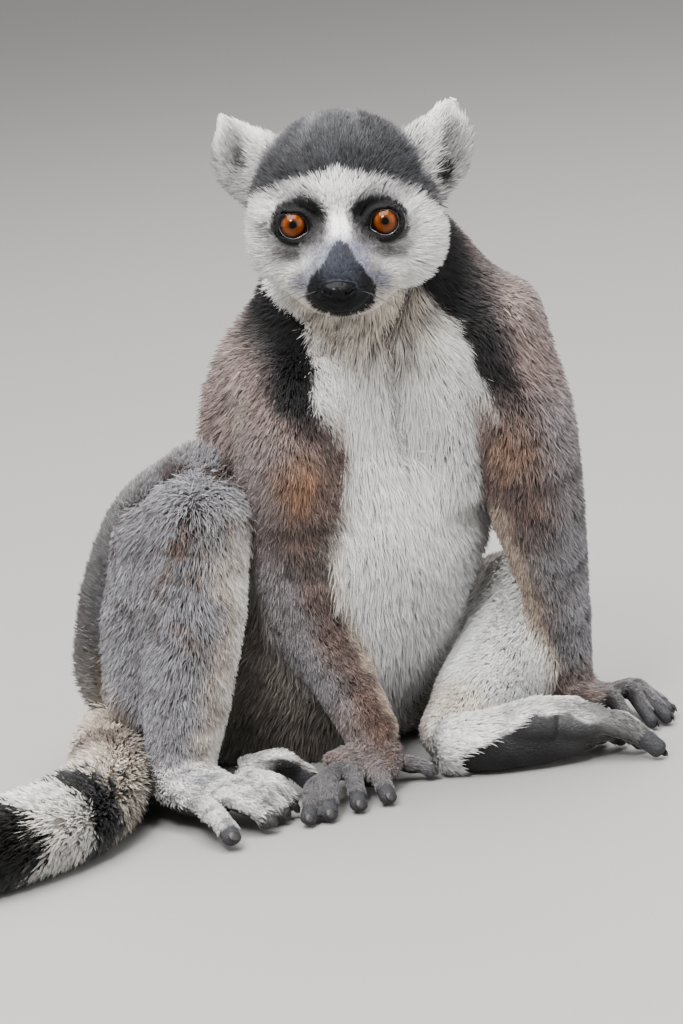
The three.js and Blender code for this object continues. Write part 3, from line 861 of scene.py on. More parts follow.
def leg_markings(p, side):
    """Lavender grey flecked with brown outside, cream along the shin and white inside."""
    x, y, z = p.T
    fleck = ramp(cloud(p * (0.8, 0.8, 1.7), 6.5, 9) + 0.5 * cloud(p, 3, 10), 0.22, 0.6)
    if side < 0:
        inner = x - np.interp(z, [26, 52, 92, 131], [-66, -56, -45, -40])
        shin = 1 - ramp(z, 105, 145)
        colour = tint(plain(LIGHT, p), GREY, 0.22 + 0.25 * cloud(p, 12, 11))
        colour = tint(colour, PALE, 0.35 * ramp(y, 18, 45) * (1 - ramp(z, 90, 130)))
        colour = tint(colour, ROSY, 0.35 * ramp(y + 0.4 * z, 40, 100))
        knee = near(p, (-62, -22, 146), (36, 42, 28), 0.5)
        colour = tint(colour, GREY, 0.3 * knee)
        flecked = np.maximum(knee, 0.55 * ramp(z, 70, 110) * ramp(-x, 40, 60))
        colour = tint(colour, UMBER, fleck * flecked)
        rusty = 0.3 * near(p, (-68, -30, 100), (12, 20, 36)) * ramp(cloud(p, 5, 12), 0, 0.5)
        colour = tint(colour, RUST, rusty)
        colour = tint(colour, BEIGE, 0.6 * ramp(inner + cloud(p, 8, 13) * 4, -20, -9) * shin)
        colour = tint(colour, WHITE, 0.75 * ramp(inner + cloud(p, 8, 13) * 4, -12, -4) * shin)
        colour = tint(colour, PALE, 0.8 * ramp(y, 22, 50) * (1 - ramp(z, 35, 70)))
        return tint(colour, BUFF, 0.75 * near(p, (-103, 26, 40), (10, 26, 22), 0.5))
    white = ramp(-y + 0.5 * z, -40, -10) * ramp(z, 6, 16)
    colour = tint(tint(plain(LIGHT, p), BEIGE, 0.4), WHITE, white)
    spots = near(p, (11, 30, 46), (18, 30, 17)) * ramp(cloud(p, 5, 14), 0.1, 0.6)
    colour = tint(colour, GREY, 0.6 * spots)
    colour = tint(colour, BUFF, 0.5 * near(p, (40, 5, 22), (18, 20, 16), 0.5))
    # A brown patch low between the left leg and the belly, partly the fur's own brown and partly painted shade of
    # the hollow there.
    return tint(colour, BROWN, 0.75 * near(p, (14, 14, 20), (15, 30, 13)))


RING_PLACES = [0.0, 0.342, 0.374, 0.432, 0.478, 0.518, 0.56, 1.0]
RING_PHASES = [-1.2, 0, 1, 2, 3, 4, 5, 18.6]
RING_BLACK = (0.045, 0.034, 0.029)


def tail_markings(p, t):
    """A buff base with one faint brown ring, then rings of black and white, closer beyond, and a black tip."""
    ring = np.interp(t, RING_PLACES, RING_PHASES) + cloud(p, 7, 15) * 0.16 + cloud(p, 2.5, 16) * 0.12
    black = ramp(np.sin(ring * np.pi), -0.2, 0.25) * (ring > -0.4)
    colour = tint(plain(WHITE, p), BEIGE, 0.25 + 0.6 * (1 - ramp(ring, -0.12, 0.05)))
    faint = ramp(t + cloud(p, 6, 16) * 0.006, 0.2, 0.225) * (1 - ramp(t, 0.25, 0.275))
    colour = tint(colour, BROWN, 0.6 * faint)
    return tint(colour, RING_BLACK, np.maximum(black, ramp(ring, 17.6, 18)))


def bare_share(name, p, t, x, y):
    """How bare a hand or foot is: its underside, and the pads of its digits."""
    left_foot = name.startswith(("foot_left", "toe_left"))
    bare = ramp(y if left_foot else -y, -0.05, 0.35)
    if name == "toe_right_1":
        centre = PARTS[name]["centre"]
        off = unit(p - centre[np.rint(t * (len(centre) - 1)).astype(int)])
        bare = ramp(off @ (0, -0.8, -0.6), 0.05, 0.4) * ramp(t, 0.15, 0.35)
    if name.startswith("foot_left"):
        edge = np.interp(p[:, 0], [36, 38, 46, 62, 69, 87, 95, 110], [6, 10, 14, 20, 27, 24, 20, 17])
        bare = np.maximum(bare, ramp(-x, 0.2, 0.5))
        bare = bare * (1 - ramp(p[:, 2] - edge + cloud(p, 4, 30), -0.8, 1.2)) * ramp(p[:, 0], 36, 39)
    if name.startswith(("toe", "finger")):
        start = 0.80 if name.startswith("toe_right") else 0.76
        under = bare * (0.5 if name.startswith("toe_left") else 1)
        bare = np.maximum(under, ramp(t + 0.12 * bare, start, start + 0.12))
    return bare


def foot_markings(name, p, t, x, y):
    """White or grey short hair above, black leather below, and grey pads."""
    hairy = {"foot_right": WHITE, "toe_right": WHITE, "foot_left": WHITE, "toe_left": PALE}
    hairy |= {"hand_right": ROSY, "finger_right": GREY, "hand_left": ROSY, "finger_left": GREY}
    base = name.rsplit("_", 1)[0] if name[-1].isdigit() else name
    colour = plain(hairy[base], p)
    if base == "foot_right":
        colour = tint(colour, LIGHT, 0.5 + 0.5 * cloud(p, 3.5, 17))
    if base in ("foot_right", "toe_right"):
        mottle = ramp(cloud(p * (0.55, 0.55, 1), 3.0, 44) + 0.4 * cloud(p, 1.6, 45), 0.1, 0.75)
        colour = tint(colour, GREY, 0.55 * mottle)
    if base.startswith("hand"):
        colour = tint(colour, RUST, 0.35 * near(p, (8, -18, 18), (12, 12, 9)))
        colour = tint(colour, GREY, 0.15 + 0.35 * cloud(p, 3, 18))
    bare = bare_share(name, p, t, x, y)[:, None]
    if base[:3] in ("toe", "fin"):
        darker = {"toe_right": 0.4, "toe_left": 0.5}.get(base, 0.7)
        colour = tint(colour, GREY, darker * (0.5 + 0.5 * ramp(t, 0.3, 0.75)) * (1 + 0.5 * cloud(p, 2.5, 21)))
        leather = tint(plain(LEATHER, p), PAD, ramp(t, 0.55, 0.8))
        return colour * (1 - bare) + leather * bare
    leather = tint(plain(LEATHER, p), PAD, 0.8 if name[-1].isdigit() else 0.15 * (1 + cloud(p, 6, 31)))
    return colour * (1 - bare) + leather * bare


# Where each ear's grey inside and the painted shade of its opening lie, and how dark that shade is.
EAR_MARKS = {
    "ear_right": {"hand": -1, "inside": (-42, 31), "opening_shade": (-39, 27), "depth": 0.45},
    "ear_left": {"hand": 1, "inside": (45, 30), "opening_shade": (41.5, 19), "depth": 1},
}


def ear_markings(name, p, y):
    """White, with grey inside, partly skin showing through the fluff and partly painted shade, and black painted
    shade in the opening at its bottom.
    """
    marks = EAR_MARKS[name]
    seen = np.stack(face_plane(to_head(p)), 1)
    # Grey inside the ear, partly skin through the fluff and partly painted shade, and black painted shade in its
    # opening.
    inside = near(seen, marks["inside"], (5, 10), 0.6)
    opening_shade = near(seen, marks["opening_shade"], (2.6, 4.8), 0.5) * marks["depth"]
    front = ramp(y * marks["hand"], -0.1, 0.3)
    colour = tint(plain(WHITE, p), LIGHT, 0.08 + 0.16 * cloud(p, 6, 20))
    return tint(tint(colour, GREY, 0.6 * inside * front), BLACK, 0.9 * opening_shade * front)


def part_markings(name, p, t, x, y):
    """The colour of one part at its points; t is the place along it, x and y those across, over its rings."""
    if name == "head":
        return head_markings(p)
    if name.startswith("ear"):
        return ear_markings(name, p, y)
    if name == "calf":
        return leg_markings(p, -1)
    if name in ("trunk", "shoulder_left", "breast_left"):
        return trunk_markings(p)
    if name.startswith("arm"):
        side = -1 if name == "arm_left" else 1
        upper = 1 - ramp(p[:, 2], 150, 185)
        return arm_markings(p, t, x, y, side) * upper[:, None] + trunk_markings(p) * (1 - upper[:, None])
    if name.startswith(("thigh", "shank")):
        return leg_markings(p, -1 if name.endswith("right") else 1)
    if name == "tail":
        return tail_markings(p, t)
    return foot_markings(name, p, t, x, y)


HAIR_FROM, HAIR_BACK = np.array([-0.9, 66, -9]), np.array([0, -0.5, -0.1])
MIX_REACH, MIX_WIDTH = 12, 2.5


def survey(p):
    """Colours, the lie of the hair, the leading part, the place along it and round it, and how bare points are.

    A part's share falls off with its distance past the closest part's. On the head, hair runs back from the nose.
    """
    shares = np.zeros((len(PART_ORDER), len(p)))
    closest = np.full(len(p), np.inf)
    reach = near_parts(p, 1.0)
    gaps = {name: part_distance(name, p[rows], 1.0) for name, rows in reach.items() if len(rows)}
    for name, gap in gaps.items():
        closest[reach[name]] = np.minimum(closest[reach[name]], gap)
    colour, lie, bare = np.zeros((len(p), 3)), np.zeros((len(p), 3)), np.zeros(len(p))
    along, turn = np.zeros(len(p)), np.zeros(len(p))
    for number, name in enumerate(PART_ORDER):
        if name not in gaps:
            continue
        rows = reach[name]
        close = gaps[name] < closest[rows] + MIX_REACH
        rows = rows[close]
        share = np.exp(-(gaps[name][close] - closest[rows]) / MIX_WIDTH)
        q = p[rows]
        if name == "head":
            h = to_head(q)
            t, x, y = h[:, 1] / -80 + 0.5, h[:, 0], h[:, 2]
            direction = (unit(h - HAIR_FROM) + HAIR_BACK) @ HEAD_AXES
            soft = 0 * t
        else:
            part = PARTS[name]
            t, x, y, _, sizes = place_on(part, q)
            x, y = x / (sizes[:, 0] - sizes[:, 2]), y / (sizes[:, 1] - sizes[:, 2])
            i = np.minimum((t * (len(part["centre"]) - 1)).astype(int), len(part["centre"]) - 1)
            direction = part["along"][i] * part["flow"]
            soft = bare_share(name, q, t, x, y) if name.startswith(BARE_PARTS) else 0 * t
        colour[rows] += part_markings(name, q, t, x, y) * share[:, None]
        lie[rows] += direction * share[:, None]
        bare[rows] += soft * share
        shares[number, rows] = share
        best = share >= shares[:, rows].max(0)
        along[rows[best]] = t[best]
        turn[rows[best]] = np.arctan2(y[best], x[best]) / (2 * np.pi) + 0.5
    total = shares.sum(0)
    return {
        "colour": colour / total[:, None],
        "lie": unit(lie),
        "bare": bare / total,
        "lead": shares.argmax(0),
        "along": along,
        "turn": turn,
    }


def linear(colour):
    """Linear light from display colours."""
    return np.where(colour <= 0.04045, colour / 12.92, ((np.maximum(colour, 0) + 0.055) / 1.055) ** 2.4)


def give_attribute(mesh, name, kind, values):
    """A number or colour at each point of a mesh."""
    if kind == "FLOAT_COLOR":
        values = np.concatenate([values, np.ones((len(values), 1))], 1)
    field = {"FLOAT_COLOR": "color", "FLOAT_VECTOR": "vector", "FLOAT": "value"}[kind]
    layer = mesh.attributes.new(name, kind, "POINT")
    layer.data.foreach_set(field, values.astype(np.float32).ravel())


skin_facts = survey(skin_points)
# Where the coat covers it, the skin's colour is darkened by HIDE_SHADE: painted shade of the hair over it, left
# off the bare muzzle.
HIDE_SHADE = 0.72
skin = make_mesh("skin", skin_points, skin_triangles)
covered = 1 - skin_facts["bare"]
head_front = to_head(skin_points)
muzzle = ramp(head_front[:, 1], 30, 40) * ramp(np.linalg.norm(head_front, axis=1), 0, 80)
shade = 1 - (1 - HIDE_SHADE) * covered * (1 - muzzle)
give_attribute(skin.data, "hide", "FLOAT_COLOR", linear(skin_facts["colour"] * shade[:, None]))
give_attribute(skin.data, "bare", "FLOAT", skin_facts["bare"])


class Nodes:
    """A material's node tree, with short calls for the nodes that these surfaces use."""

    def __init__(self, name, roughness, **sockets):
        self.material = bpy.data.materials.new(name)
        self.material.use_nodes = True
        self.tree = self.material.node_tree
        self.shader = self.tree.nodes["Principled BSDF"]
        self.shader.inputs["Roughness"].default_value = roughness
        for socket, value in sockets.items():
            self.shader.inputs[socket.replace("_", " ")].default_value = value

    def add(self, kind, inputs=(), **settings):
        """A node with its settings, and its inputs joined to outputs or set to values."""
        node = self.tree.nodes.new(kind)
        for key, value in settings.items():
            setattr(node, key, value)
        for socket, value in dict(inputs).items():
            self.join(node.inputs[socket], value)
        return node

    def join(self, socket, value):
        """Join a socket to an output, or give it a value."""
        if isinstance(value, bpy.types.NodeSocket):
            self.tree.links.new(socket, value)
        else:
            socket.default_value = value

    def paint(self, colour, socket="Base Color"):
        """Join a colour, or a value for another socket, to the shader."""
        self.join(self.shader.inputs[socket], colour)

    def place(self):
        """Object coordinates."""
        return self.add("ShaderNodeTexCoord").outputs["Object"]

    def noise(self, scale, detail=4.0, roughness=0.55):
        """Noise over Object coordinates."""
        inputs = {"Vector": self.place(), "Scale": scale, "Detail": detail, "Roughness": roughness}
        return self.add("ShaderNodeTexNoise", inputs).outputs["Fac"]

    def cells(self, scale, feature="F1"):
        """Distances in small cells over Object coordinates."""
        inputs = {"Vector": self.place(), "Scale": scale}
        return self.add("ShaderNodeTexVoronoi", inputs, feature=feature).outputs["Distance"]

    def sum(self, one, other, operation="ADD"):
        """Two values added, or joined by another operation."""
        return self.add("ShaderNodeMath", {0: one, 1: other}, operation=operation).outputs[0]

    def mix(self, colour, other, share, blend="MIX"):
        """One colour laid over another."""
        node = self.add("ShaderNodeMix", data_type="RGBA", blend_type=blend)
        for socket, value in ((0, share), (6, colour), (7, other)):
            self.join(node.inputs[socket], value)
        return node.outputs[2]

    def ranged(self, value, low, high):
        """A 0 to 1 value stretched to low to high."""
        return self.add("ShaderNodeMapRange", {"Value": value, "To Min": low, "To Max": high}).outputs[0]

    def bump(self, height, strength, distance):
        """Bump from a height, joined to the shader."""
        inputs = {"Height": height, "Strength": strength, "Distance": distance}
        self.join(self.shader.inputs["Normal"], self.add("ShaderNodeBump", inputs).outputs["Normal"])


hide = Nodes("hide", 0.6, Specular_IOR_Level=0.2)
shade = hide.add("ShaderNodeAttribute", attribute_name="hide").outputs["Color"]
bareness = hide.add("ShaderNodeAttribute", attribute_name="bare").outputs["Fac"]
mottle = hide.ranged(hide.noise(260, 5), 0.7, 1.25)
hide.paint(hide.mix(shade, mottle, 0.5, "MULTIPLY"))
hide.paint(hide.ranged(bareness, 0.75, 0.5), "Roughness")
creases = {"Value": hide.cells(480, "DISTANCE_TO_EDGE"), "From Max": 0.12, "To Min": -0.9, "To Max": 0.0}
creases = hide.add("ShaderNodeMapRange", creases).outputs[0]
hide.bump(hide.sum(hide.sum(creases, bareness, "MULTIPLY"), hide.cells(900)), 0.45, 0.0006)
skin.data.materials.append(hide.material)
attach(skin, "root")
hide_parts(*(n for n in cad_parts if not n.startswith(("eye_", "nose"))))

# ---------------------------------------------------------------- eyes
# Two large wet eyeballs, with orange irises crossed by fine fibres round a small pupil and dark at the rim.
# Each sits loose in its socket behind the lids, and a line of tears stands along the lid margins.

def loft(rings, loop=False):
    """Points and triangles over rings of points: ends closed by fans, or the last ring joined to the first."""
    count, around = rings.shape[:2]
    i, j = np.meshgrid(np.arange(count if loop else count - 1), np.arange(around), indexing="ij")
    beside, after = (j + 1) % around, (i + 1) % count * around
    a, b, c, d = i * around + j, i * around + beside, after + beside, after + j
    triangles = [np.stack(t, -1).reshape(-1, 3) for t in ((a, b, c), (a, c, d))]
    points = rings.reshape(-1, 3)
    if not loop:
        j = np.arange(around)
        last = (count - 1) * around
        triangles.append(np.stack([(j + 1) % around, j, np.full(around, len(points))], 1))
        triangles.append(np.stack([last + j, last + (j + 1) % around, np.full(around, len(points) + 1)], 1))
        points = np.concatenate([points, [rings[0].mean(0), rings[-1].mean(0)]])
    triangles = np.concatenate(triangles)
    a, b, c = (points[triangles[:, k]] for k in range(3))
    inward = np.einsum("ij,ij->", a, np.cross(b, c)) < 0
    return points, triangles[:, ::-1] if inward else triangles


def round_gaze(name, far, angle, turn):
    """Drawing-frame points at a distance from an eye's centre, an angle off its gaze and a turn round it."""
    plane = np.cos(turn)[..., None] * FACE_ACROSS + np.sin(turn)[..., None] * FACE_UP
    ahead, aside = (far * np.cos(angle))[..., None], (far * np.sin(angle))[..., None]
    return from_head(EYES[name] + ahead * GAZE + aside * plane)


CORNEA_RISE, CORNEA_ANGLE = 0.45, 0.52
TEAR_RADIUS = 0.21
IRIS_STOPS = [
    (0.165, (0.001, 0.001, 0.001)),
    (0.185, (0.03, 0.007, 0.001)),
    (0.235, (0.055, 0.010, 0.0003)),
    (0.37, (0.110, 0.025, 0.0003)),
    (0.50, (0.105, 0.0225, 0.0003)),
    (0.60, (0.028, 0.005, 0.0003)),
    (0.672, (0.004, 0.003, 0.003)),
    (0.80, (0.008, 0.006, 0.006)),
]

iris = Nodes("eye", 0.35, Specular_IOR_Level=0.0, Coat_Weight=0.65, Coat_Roughness=0.015, Coat_IOR=1.4)
polar = iris.add("ShaderNodeAttribute", attribute_name="polar").outputs["Vector"]
away = iris.add("ShaderNodeVectorMath", {0: polar}, operation="LENGTH").outputs["Value"]
heading = iris.add("ShaderNodeVectorMath", {0: polar}, operation="NORMALIZE").outputs["Vector"]
fibres = {"Vector": heading, "Scale": 11.0, "Detail": 5.0, "Roughness": 0.65}
fibres = iris.add("ShaderNodeTexNoise", fibres).outputs["Fac"]
clouds = iris.add("ShaderNodeTexNoise", {"Vector": polar, "Scale": 7.0, "Detail": 3.0}).outputs["Fac"]
ragged = iris.sum(iris.ranged(fibres, -0.03, 0.03), away)
bands = iris.add("ShaderNodeValToRGB")
while len(bands.color_ramp.elements) < len(IRIS_STOPS):
    bands.color_ramp.elements.new(0.5)
for element, (place, colour) in zip(bands.color_ramp.elements, IRIS_STOPS):
    element.position = place
    element.color = (*colour, 1)
iris.join(bands.inputs["Fac"], ragged)
colour = iris.mix(bands.outputs["Color"], iris.ranged(fibres, 0.45, 1.5), 0.75, "MULTIPLY")
colour = iris.mix(colour, iris.ranged(clouds, 0.7, 1.3), 0.6, "MULTIPLY")
iris.paint(colour)
iris.bump(fibres, 0.5, 0.0002)

for name in EYES:
    angle = math.pi * np.linspace(0.03, 0.999, 72) ** 1.3
    angle, turn = np.meshgrid(angle, np.linspace(0, 2 * np.pi, 96, endpoint=False), indexing="ij")
    far = EYE_RADIUS + CORNEA_RISE * np.exp(-((angle / CORNEA_ANGLE) ** 4))
    points, triangles = loft(round_gaze(name, far, angle, turn))
    ball = make_mesh(f"eyeball_{name}", points, triangles)
    polar = np.stack([angle * np.cos(turn), angle * np.sin(turn), 0 * turn], -1).reshape(-1, 3)
    give_attribute(ball.data, "polar", "FLOAT_VECTOR", np.concatenate([polar, [(0, 0, 0), (math.pi, 0, 0)]]))
    ball.data.materials.append(iris.material)
    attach(ball, "root")
    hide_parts(f"eye_{name}")

wet = Nodes("tear_line", 0.08, Coat_Weight=1.0, Coat_Roughness=0.02)
wet.paint(wet.mix((0.10, 0.075, 0.07, 1), (0.03, 0.025, 0.025, 1), wet.noise(700)))
wet.bump(wet.noise(900, 2), 0.15, 0.0002)
for name in EYES:
    turns = [np.linspace(0, 2 * np.pi, count, endpoint=False) for count in (160, 10)]
    turn, round_it = np.meshgrid(*turns, indexing="ij")
    margin = lid_opening(turn, name) - 0.012
    thick = TEAR_RADIUS * (0.25 + 0.75 * ramp(-np.sin(turn), -0.1, 0.7))
    far = EYE_RADIUS + 0.28 + thick * np.cos(round_it)
    angle = margin + thick * np.sin(round_it) / EYE_RADIUS
    points, triangles = loft(round_gaze(name, far, angle, turn), loop=True)
    rim = make_mesh(f"tear_line_{name}", points, triangles)
    rim.data.materials.append(wet.material)
    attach(rim, "root")

# ---------------------------------------------------------------- nose
# The bare wet nose at the end of the muzzle: two rounded wings with comma nostrils and a groove below.
# It is finely pebbled black skin, one surface of blended balls less the nostrils.

NOSE_AT = np.array([-0.8, 67.5, -6.6])


def nose_distance(p):
    """Distance from drawing-frame points to the nose, mirrored about the middle of the face."""
    h = to_head(p) - (NOSE_AT[0], 0, 0)
    h = np.stack([np.abs(h[:, 0]), h[:, 1], h[:, 2]], 1)
    wing = ball_distance(h, (3.1, 65.6, -7.8), np.array([4.7, 5.2, 3.2]))
    lower = ball_distance(h, (0, 66.8, -8.9), np.array([3.8, 4.3, 3.2]))
    bridge = ball_distance(h, (0, 65.0, -7.4), np.array([4.0, 4.8, 3.3]))
    d = merge(merge(wing, lower, 2.4), bridge, 2.4)
    nostril = ball_distance(h, (4.4, 70.6, -8.0), np.array([1.8, 3.0, 1.3]))
    slit = ball_distance(h, (6.8, 68.4, -7.2), np.array([2.2, 2.6, 0.7]))
    d = -merge(-d, merge(nostril, slit, 1.2), 0.9)
    return d + 0.45 * np.exp(-((h[:, 0] / 0.4) ** 2)) * ramp(-h[:, 2], 5.2, 7.6)


centre = from_head(NOSE_AT)
points, triangles = level_surface(nose_distance, centre - 13, centre + 13, 0.36, 0.1)
nose = make_mesh("nose_pad", settled(nose_distance, points, 2, 0.1), triangles)
leather = Nodes("nose", 0.5, Specular_IOR_Level=0.04, Coat_Weight=0.08, Coat_Roughness=0.07)
leather.paint(leather.mix((0.002, 0.002, 0.002, 1), (0.006, 0.006, 0.007, 1), leather.noise(500)))
leather.paint(leather.ranged(leather.noise(800, 2), 0.35, 0.6), "Roughness")
leather.bump(leather.cells(1900), 0.4, 0.0003)
nose.data.materials.append(leather.material)
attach(nose, "root")
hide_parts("nose")

# ---------------------------------------------------------------- nails
# A small dark horn nail on the upper side of each fingertip and toe tip, arched over it and free at its end.
# The second toe of each foot has a longer, narrower grooming claw.

NAIL_BACK, NAIL_END = math.radians(88), math.radians(22)
nail_points, nail_triangles = [], []
for limb, digits in DIGITS.items():
    for number, (_, _, _, _, pad) in enumerate(digits, 1):
        part = PARTS[f"{limb}_{number}"]
        claw = limb.startswith("toe") and number == 2
        at, ahead, across = part["centre"][-1], part["along"][-1], part["across"][-1]
        over = part["over"][-1] * (-1 if limb == "toe_left" else 1)
        u, v = np.meshgrid(np.linspace(0, 1, 14), np.linspace(0, 2 * np.pi, 16, endpoint=False), indexing="ij")
        lean = NAIL_BACK + (NAIL_END - NAIL_BACK) * u
        half = pad * (0.34 if claw else 0.46) * np.sqrt(np.maximum(1 - (2 * u - 1) ** 6, 0.02))
        half = half * (1 - 0.3 * u**3)
        out = np.cos(lean)[..., None] * ahead + np.sin(lean)[..., None] * over
        lift = pad * 0.85 - DIGIT_COAT[limb] * 0.9 + (1.6 if claw else 0.7) * u**3 + 0.32 * np.sin(v)
        side = half * np.cos(v)
        rings = at + out * (lift - side**2 / (1.7 * pad))[..., None] + across * side[..., None]
        points, triangles = loft(rings)
        nail_triangles.append(triangles + sum(map(len, nail_points)))
        nail_points.append(points)
nails = make_mesh("nails", np.concatenate(nail_points), np.concatenate(nail_triangles))
horn = Nodes("nail", 0.45, Specular_IOR_Level=0.3)
horn.paint(horn.mix((0.012, 0.011, 0.011, 1), (0.035, 0.032, 0.03, 1), horn.noise(450)))
horn.paint(horn.ranged(horn.noise(900, 2), 0.28, 0.5), "Roughness")
horn.bump(horn.noise(1600, 2), 0.25, 0.0002)
nails.data.materials.append(horn.material)
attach(nails, "root")

# ---------------------------------------------------------------- whiskers
# Stiff dark bristles on each side of the upper lip and a few over each eye, rooted in the skin.
# Each is a thin tapering tube bent by its own weight.

whisker_rng = np.random.default_rng(7)
whisker_points, whisker_triangles = [], []
for side in (-1, 1):
    roots = [(side * (8.6 + 1.3 * k % 3), 64.5 - 2.4 * k, -9.4 - 1.5 * (k % 3)) for k in range(7)]
    aims = [(side * 1.0, 0.30 - 0.10 * k, -0.10 - 0.12 * (k % 3)) for k in range(7)]
    reaches = [15 + 1.3 * k for k in range(7)]
    for k in range(3):
        roots.append((side * (17 + 3.0 * k), 33 - 1.5 * k, 14.2))
        aims.append((side * (0.15 + 0.3 * k), 0.55, 0.8))
        reaches.append(12.0)
    roots = settled(body_distance, from_head(np.array(roots) + (NOSE_AT[0], 0, 0)), 12)
    for root, aim, reach in zip(roots, aims, reaches):
        aim = unit(np.array(aim) + whisker_rng.normal(0, 0.09, 3)) @ HEAD_AXES
        along = np.linspace(0, 1, 9)
        sag = np.array([0, 0, 1]) * (along**2 * reach * 0.16)[:, None]
        line = root + aim * (along * reach - 0.6)[:, None] - sag
        turn = np.linspace(0, 2 * np.pi, 5, endpoint=False)
        cross = unit(np.cross(aim, (0, 0, 1)))
        other = np.cross(aim, cross)
        ring = np.cos(turn)[:, None] * cross + np.sin(turn)[:, None] * other
        points, triangles = loft(line[:, None] + ring * (0.12 * (1 - along) + 0.02)[:, None, None])
        whisker_triangles.append(triangles + sum(map(len, whisker_points)))
        whisker_points.append(points)
whiskers = make_mesh("whiskers", np.concatenate(whisker_points), np.concatenate(whisker_triangles))
bristle = Nodes("whisker", 0.6, Specular_IOR_Level=0.1)
bristle.paint(bristle.mix((0.02, 0.018, 0.018, 1), (0.09, 0.08, 0.075, 1), bristle.noise(300)))
bristle.bump(bristle.noise(3000, 2), 0.1, 0.0001)
whiskers.data.materials.append(bristle.material)
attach(whiskers, "root")

# ---------------------------------------------------------------- coat
# Hair in locks: each is a closed sliver, pointed at both ends, rooted in the skin and bent along the body.
# Locks are spread evenly over the skin, lean with the lie of the hair, and gather towards shared tips.

skin_normals = unit(slopes(body_distance, skin_points)[1])
room = np.maximum(-body_distance(skin_points, 0.0), 0.3)
corners = skin_points[skin_triangles]
areas = np.linalg.norm(np.cross(corners[:, 1] - corners[:, 0], corners[:, 2] - corners[:, 0]), axis=1) / 2


def value_at(values, triangle, weights):
    """Values of points, mixed at places inside triangles."""
    return np.einsum("ij,ij...->i...", weights, values[skin_triangles[triangle]])


def lock_sizes(p, lead, along):
    """The length, width and clumping size of locks, in millimetres, from where they grow."""
    names = np.array(PART_ORDER)[lead]
    length, width, clump = np.full(len(p), 13.0), np.full(len(p), 0.75), np.full(len(p), 7.0)

    def put(rows, *sizes):
        for target, size in zip((length, width, clump), sizes):
            target[rows] = size[rows] if isinstance(size, np.ndarray) else size

    h = to_head(p)
    x, y = face_plane(h)
    front = ramp(h[:, 1], 8, 34)
    cheek = ramp(np.abs(x), 18, 36) * ramp(-y, -8, 6)
    muzzle = ramp(h[:, 1], 34, 48)
    chin = ramp(-y, 27, 36) * (1 - muzzle * ramp(h[:, 2], -24, -20))
    eyes = np.min([np.linalg.norm(h - np.array(eye), axis=1) for eye in EYES.values()], axis=0)
    lid = 1 - ramp(eyes, 10, 13.5)
    beside = ramp(np.abs(x), 12.5, 17) * ramp(-y, 10, 20)
    short = ramp(y, 19, 27)
    put(
        names == "head",
        7.0 - 4.2 * front + 5 * cheek - muzzle + 5 * chin - 1.2 * lid + 2.2 * beside - 1.6 * short,
        0.42 - 0.16 * front - 0.04 * muzzle - 0.05 * lid,
        3.2,
    )
    put(np.char.startswith(names, "ear"), 5.5 + 1.5 * along, 0.30, 2.6)
    chest = 1 - ramp(p[:, 1], -5, 30)
    throat = chest * ramp(p[:, 2], 180, 215)
    put(
        names == "trunk",
        11 + 5 * chest - 8 * throat,
        0.48 - 0.06 * chest - 0.08 * throat,
        4.5 + 2 * chest - 3 * throat,
    )
    put(np.isin(names, ["ear_left", "shoulder_left", "breast_left"]), 11 - 2 * throat, 0.44, 4.5)
    put(np.char.startswith(names, "arm"), 8.2 - 2.8 * ramp(along, 0.4, 0.9), 0.44 - 0.08 * along, 4.6)
    put(np.char.startswith(names, "thigh") | (names == "calf"), 8.6, 0.46, 4.4)
    put(np.char.startswith(names, "shank"), 8.8 - 2.6 * ramp(along, 0.5, 1), 0.44 - 0.08 * along, 3.8)
    put(names == "tail", 14.0, 0.54, 5.0)
    put(np.char.startswith(names, "hand"), 4.0, 0.30, 2.4)
    put(np.char.startswith(names, "foot"), 6.2 - 2.0 * along, 0.36, 3.2)
    put(np.char.startswith(names, "finger"), 2.6, 0.25, 1.8)
    put(np.char.startswith(names, "toe"), 3.2, 0.28, 1.8)
    return length, width, clump


def near_gather(p, size, seed):
    """For each point the nearest of a scattered set of gathering places, one to a cell of the given size."""
    cell = np.floor(p / size[:, None])
    best, place = np.full(len(p), np.inf), np.zeros_like(p)
    for step in np.ndindex(3, 3, 3):
        other = cell + np.array(step) - 1
        jitter = np.stack([scatter(other, seed + k) for k in range(3)], 1)
        centre = (other + jitter) * size[:, None]
        far = ((p - centre) ** 2).sum(1)
        closer = far < best
        best[closer] = far[closer]
        place[closer] = centre[closer]
    return place


COAT_FINISH = {"head_coat": 0.62, "body_coat": 0.6, "limb_coat": 0.62, "tail_coat": 0.6}


def coat_material(slot):
    """Soft hair: the lock's own colour, paler or darker in fine streaks, with a faint sheen."""
    fur = Nodes(slot, COAT_FINISH[slot], Specular_IOR_Level=0.15, Sheen_Weight=0.12, Sheen_Roughness=0.5)
    own = fur.add("ShaderNodeAttribute", attribute_name="lock").outputs["Color"]
    streaks = fur.ranged(fur.noise(1400, 3), 0.8, 1.2)
    fur.paint(fur.mix(own, streaks, 0.6, "MULTIPLY"))
    fur.paint(fur.ranged(fur.noise(500, 2), 0.5, 0.75), "Roughness")
    fur.bump(fur.noise(2600, 2), 0.2, 0.0002)
    return fur.material


coat_materials = {slot: coat_material(slot) for slot in COAT_FINISH}


def ear_tip(across, up, forward=-21):
    """The place in front of which a point of the face plane lies, so far forward of the middle of the head."""
    place = FACE_AT + across * FACE_ACROSS + up * FACE_UP
    return from_head(place + GAZE * (forward - place[1]) / GAZE[1])


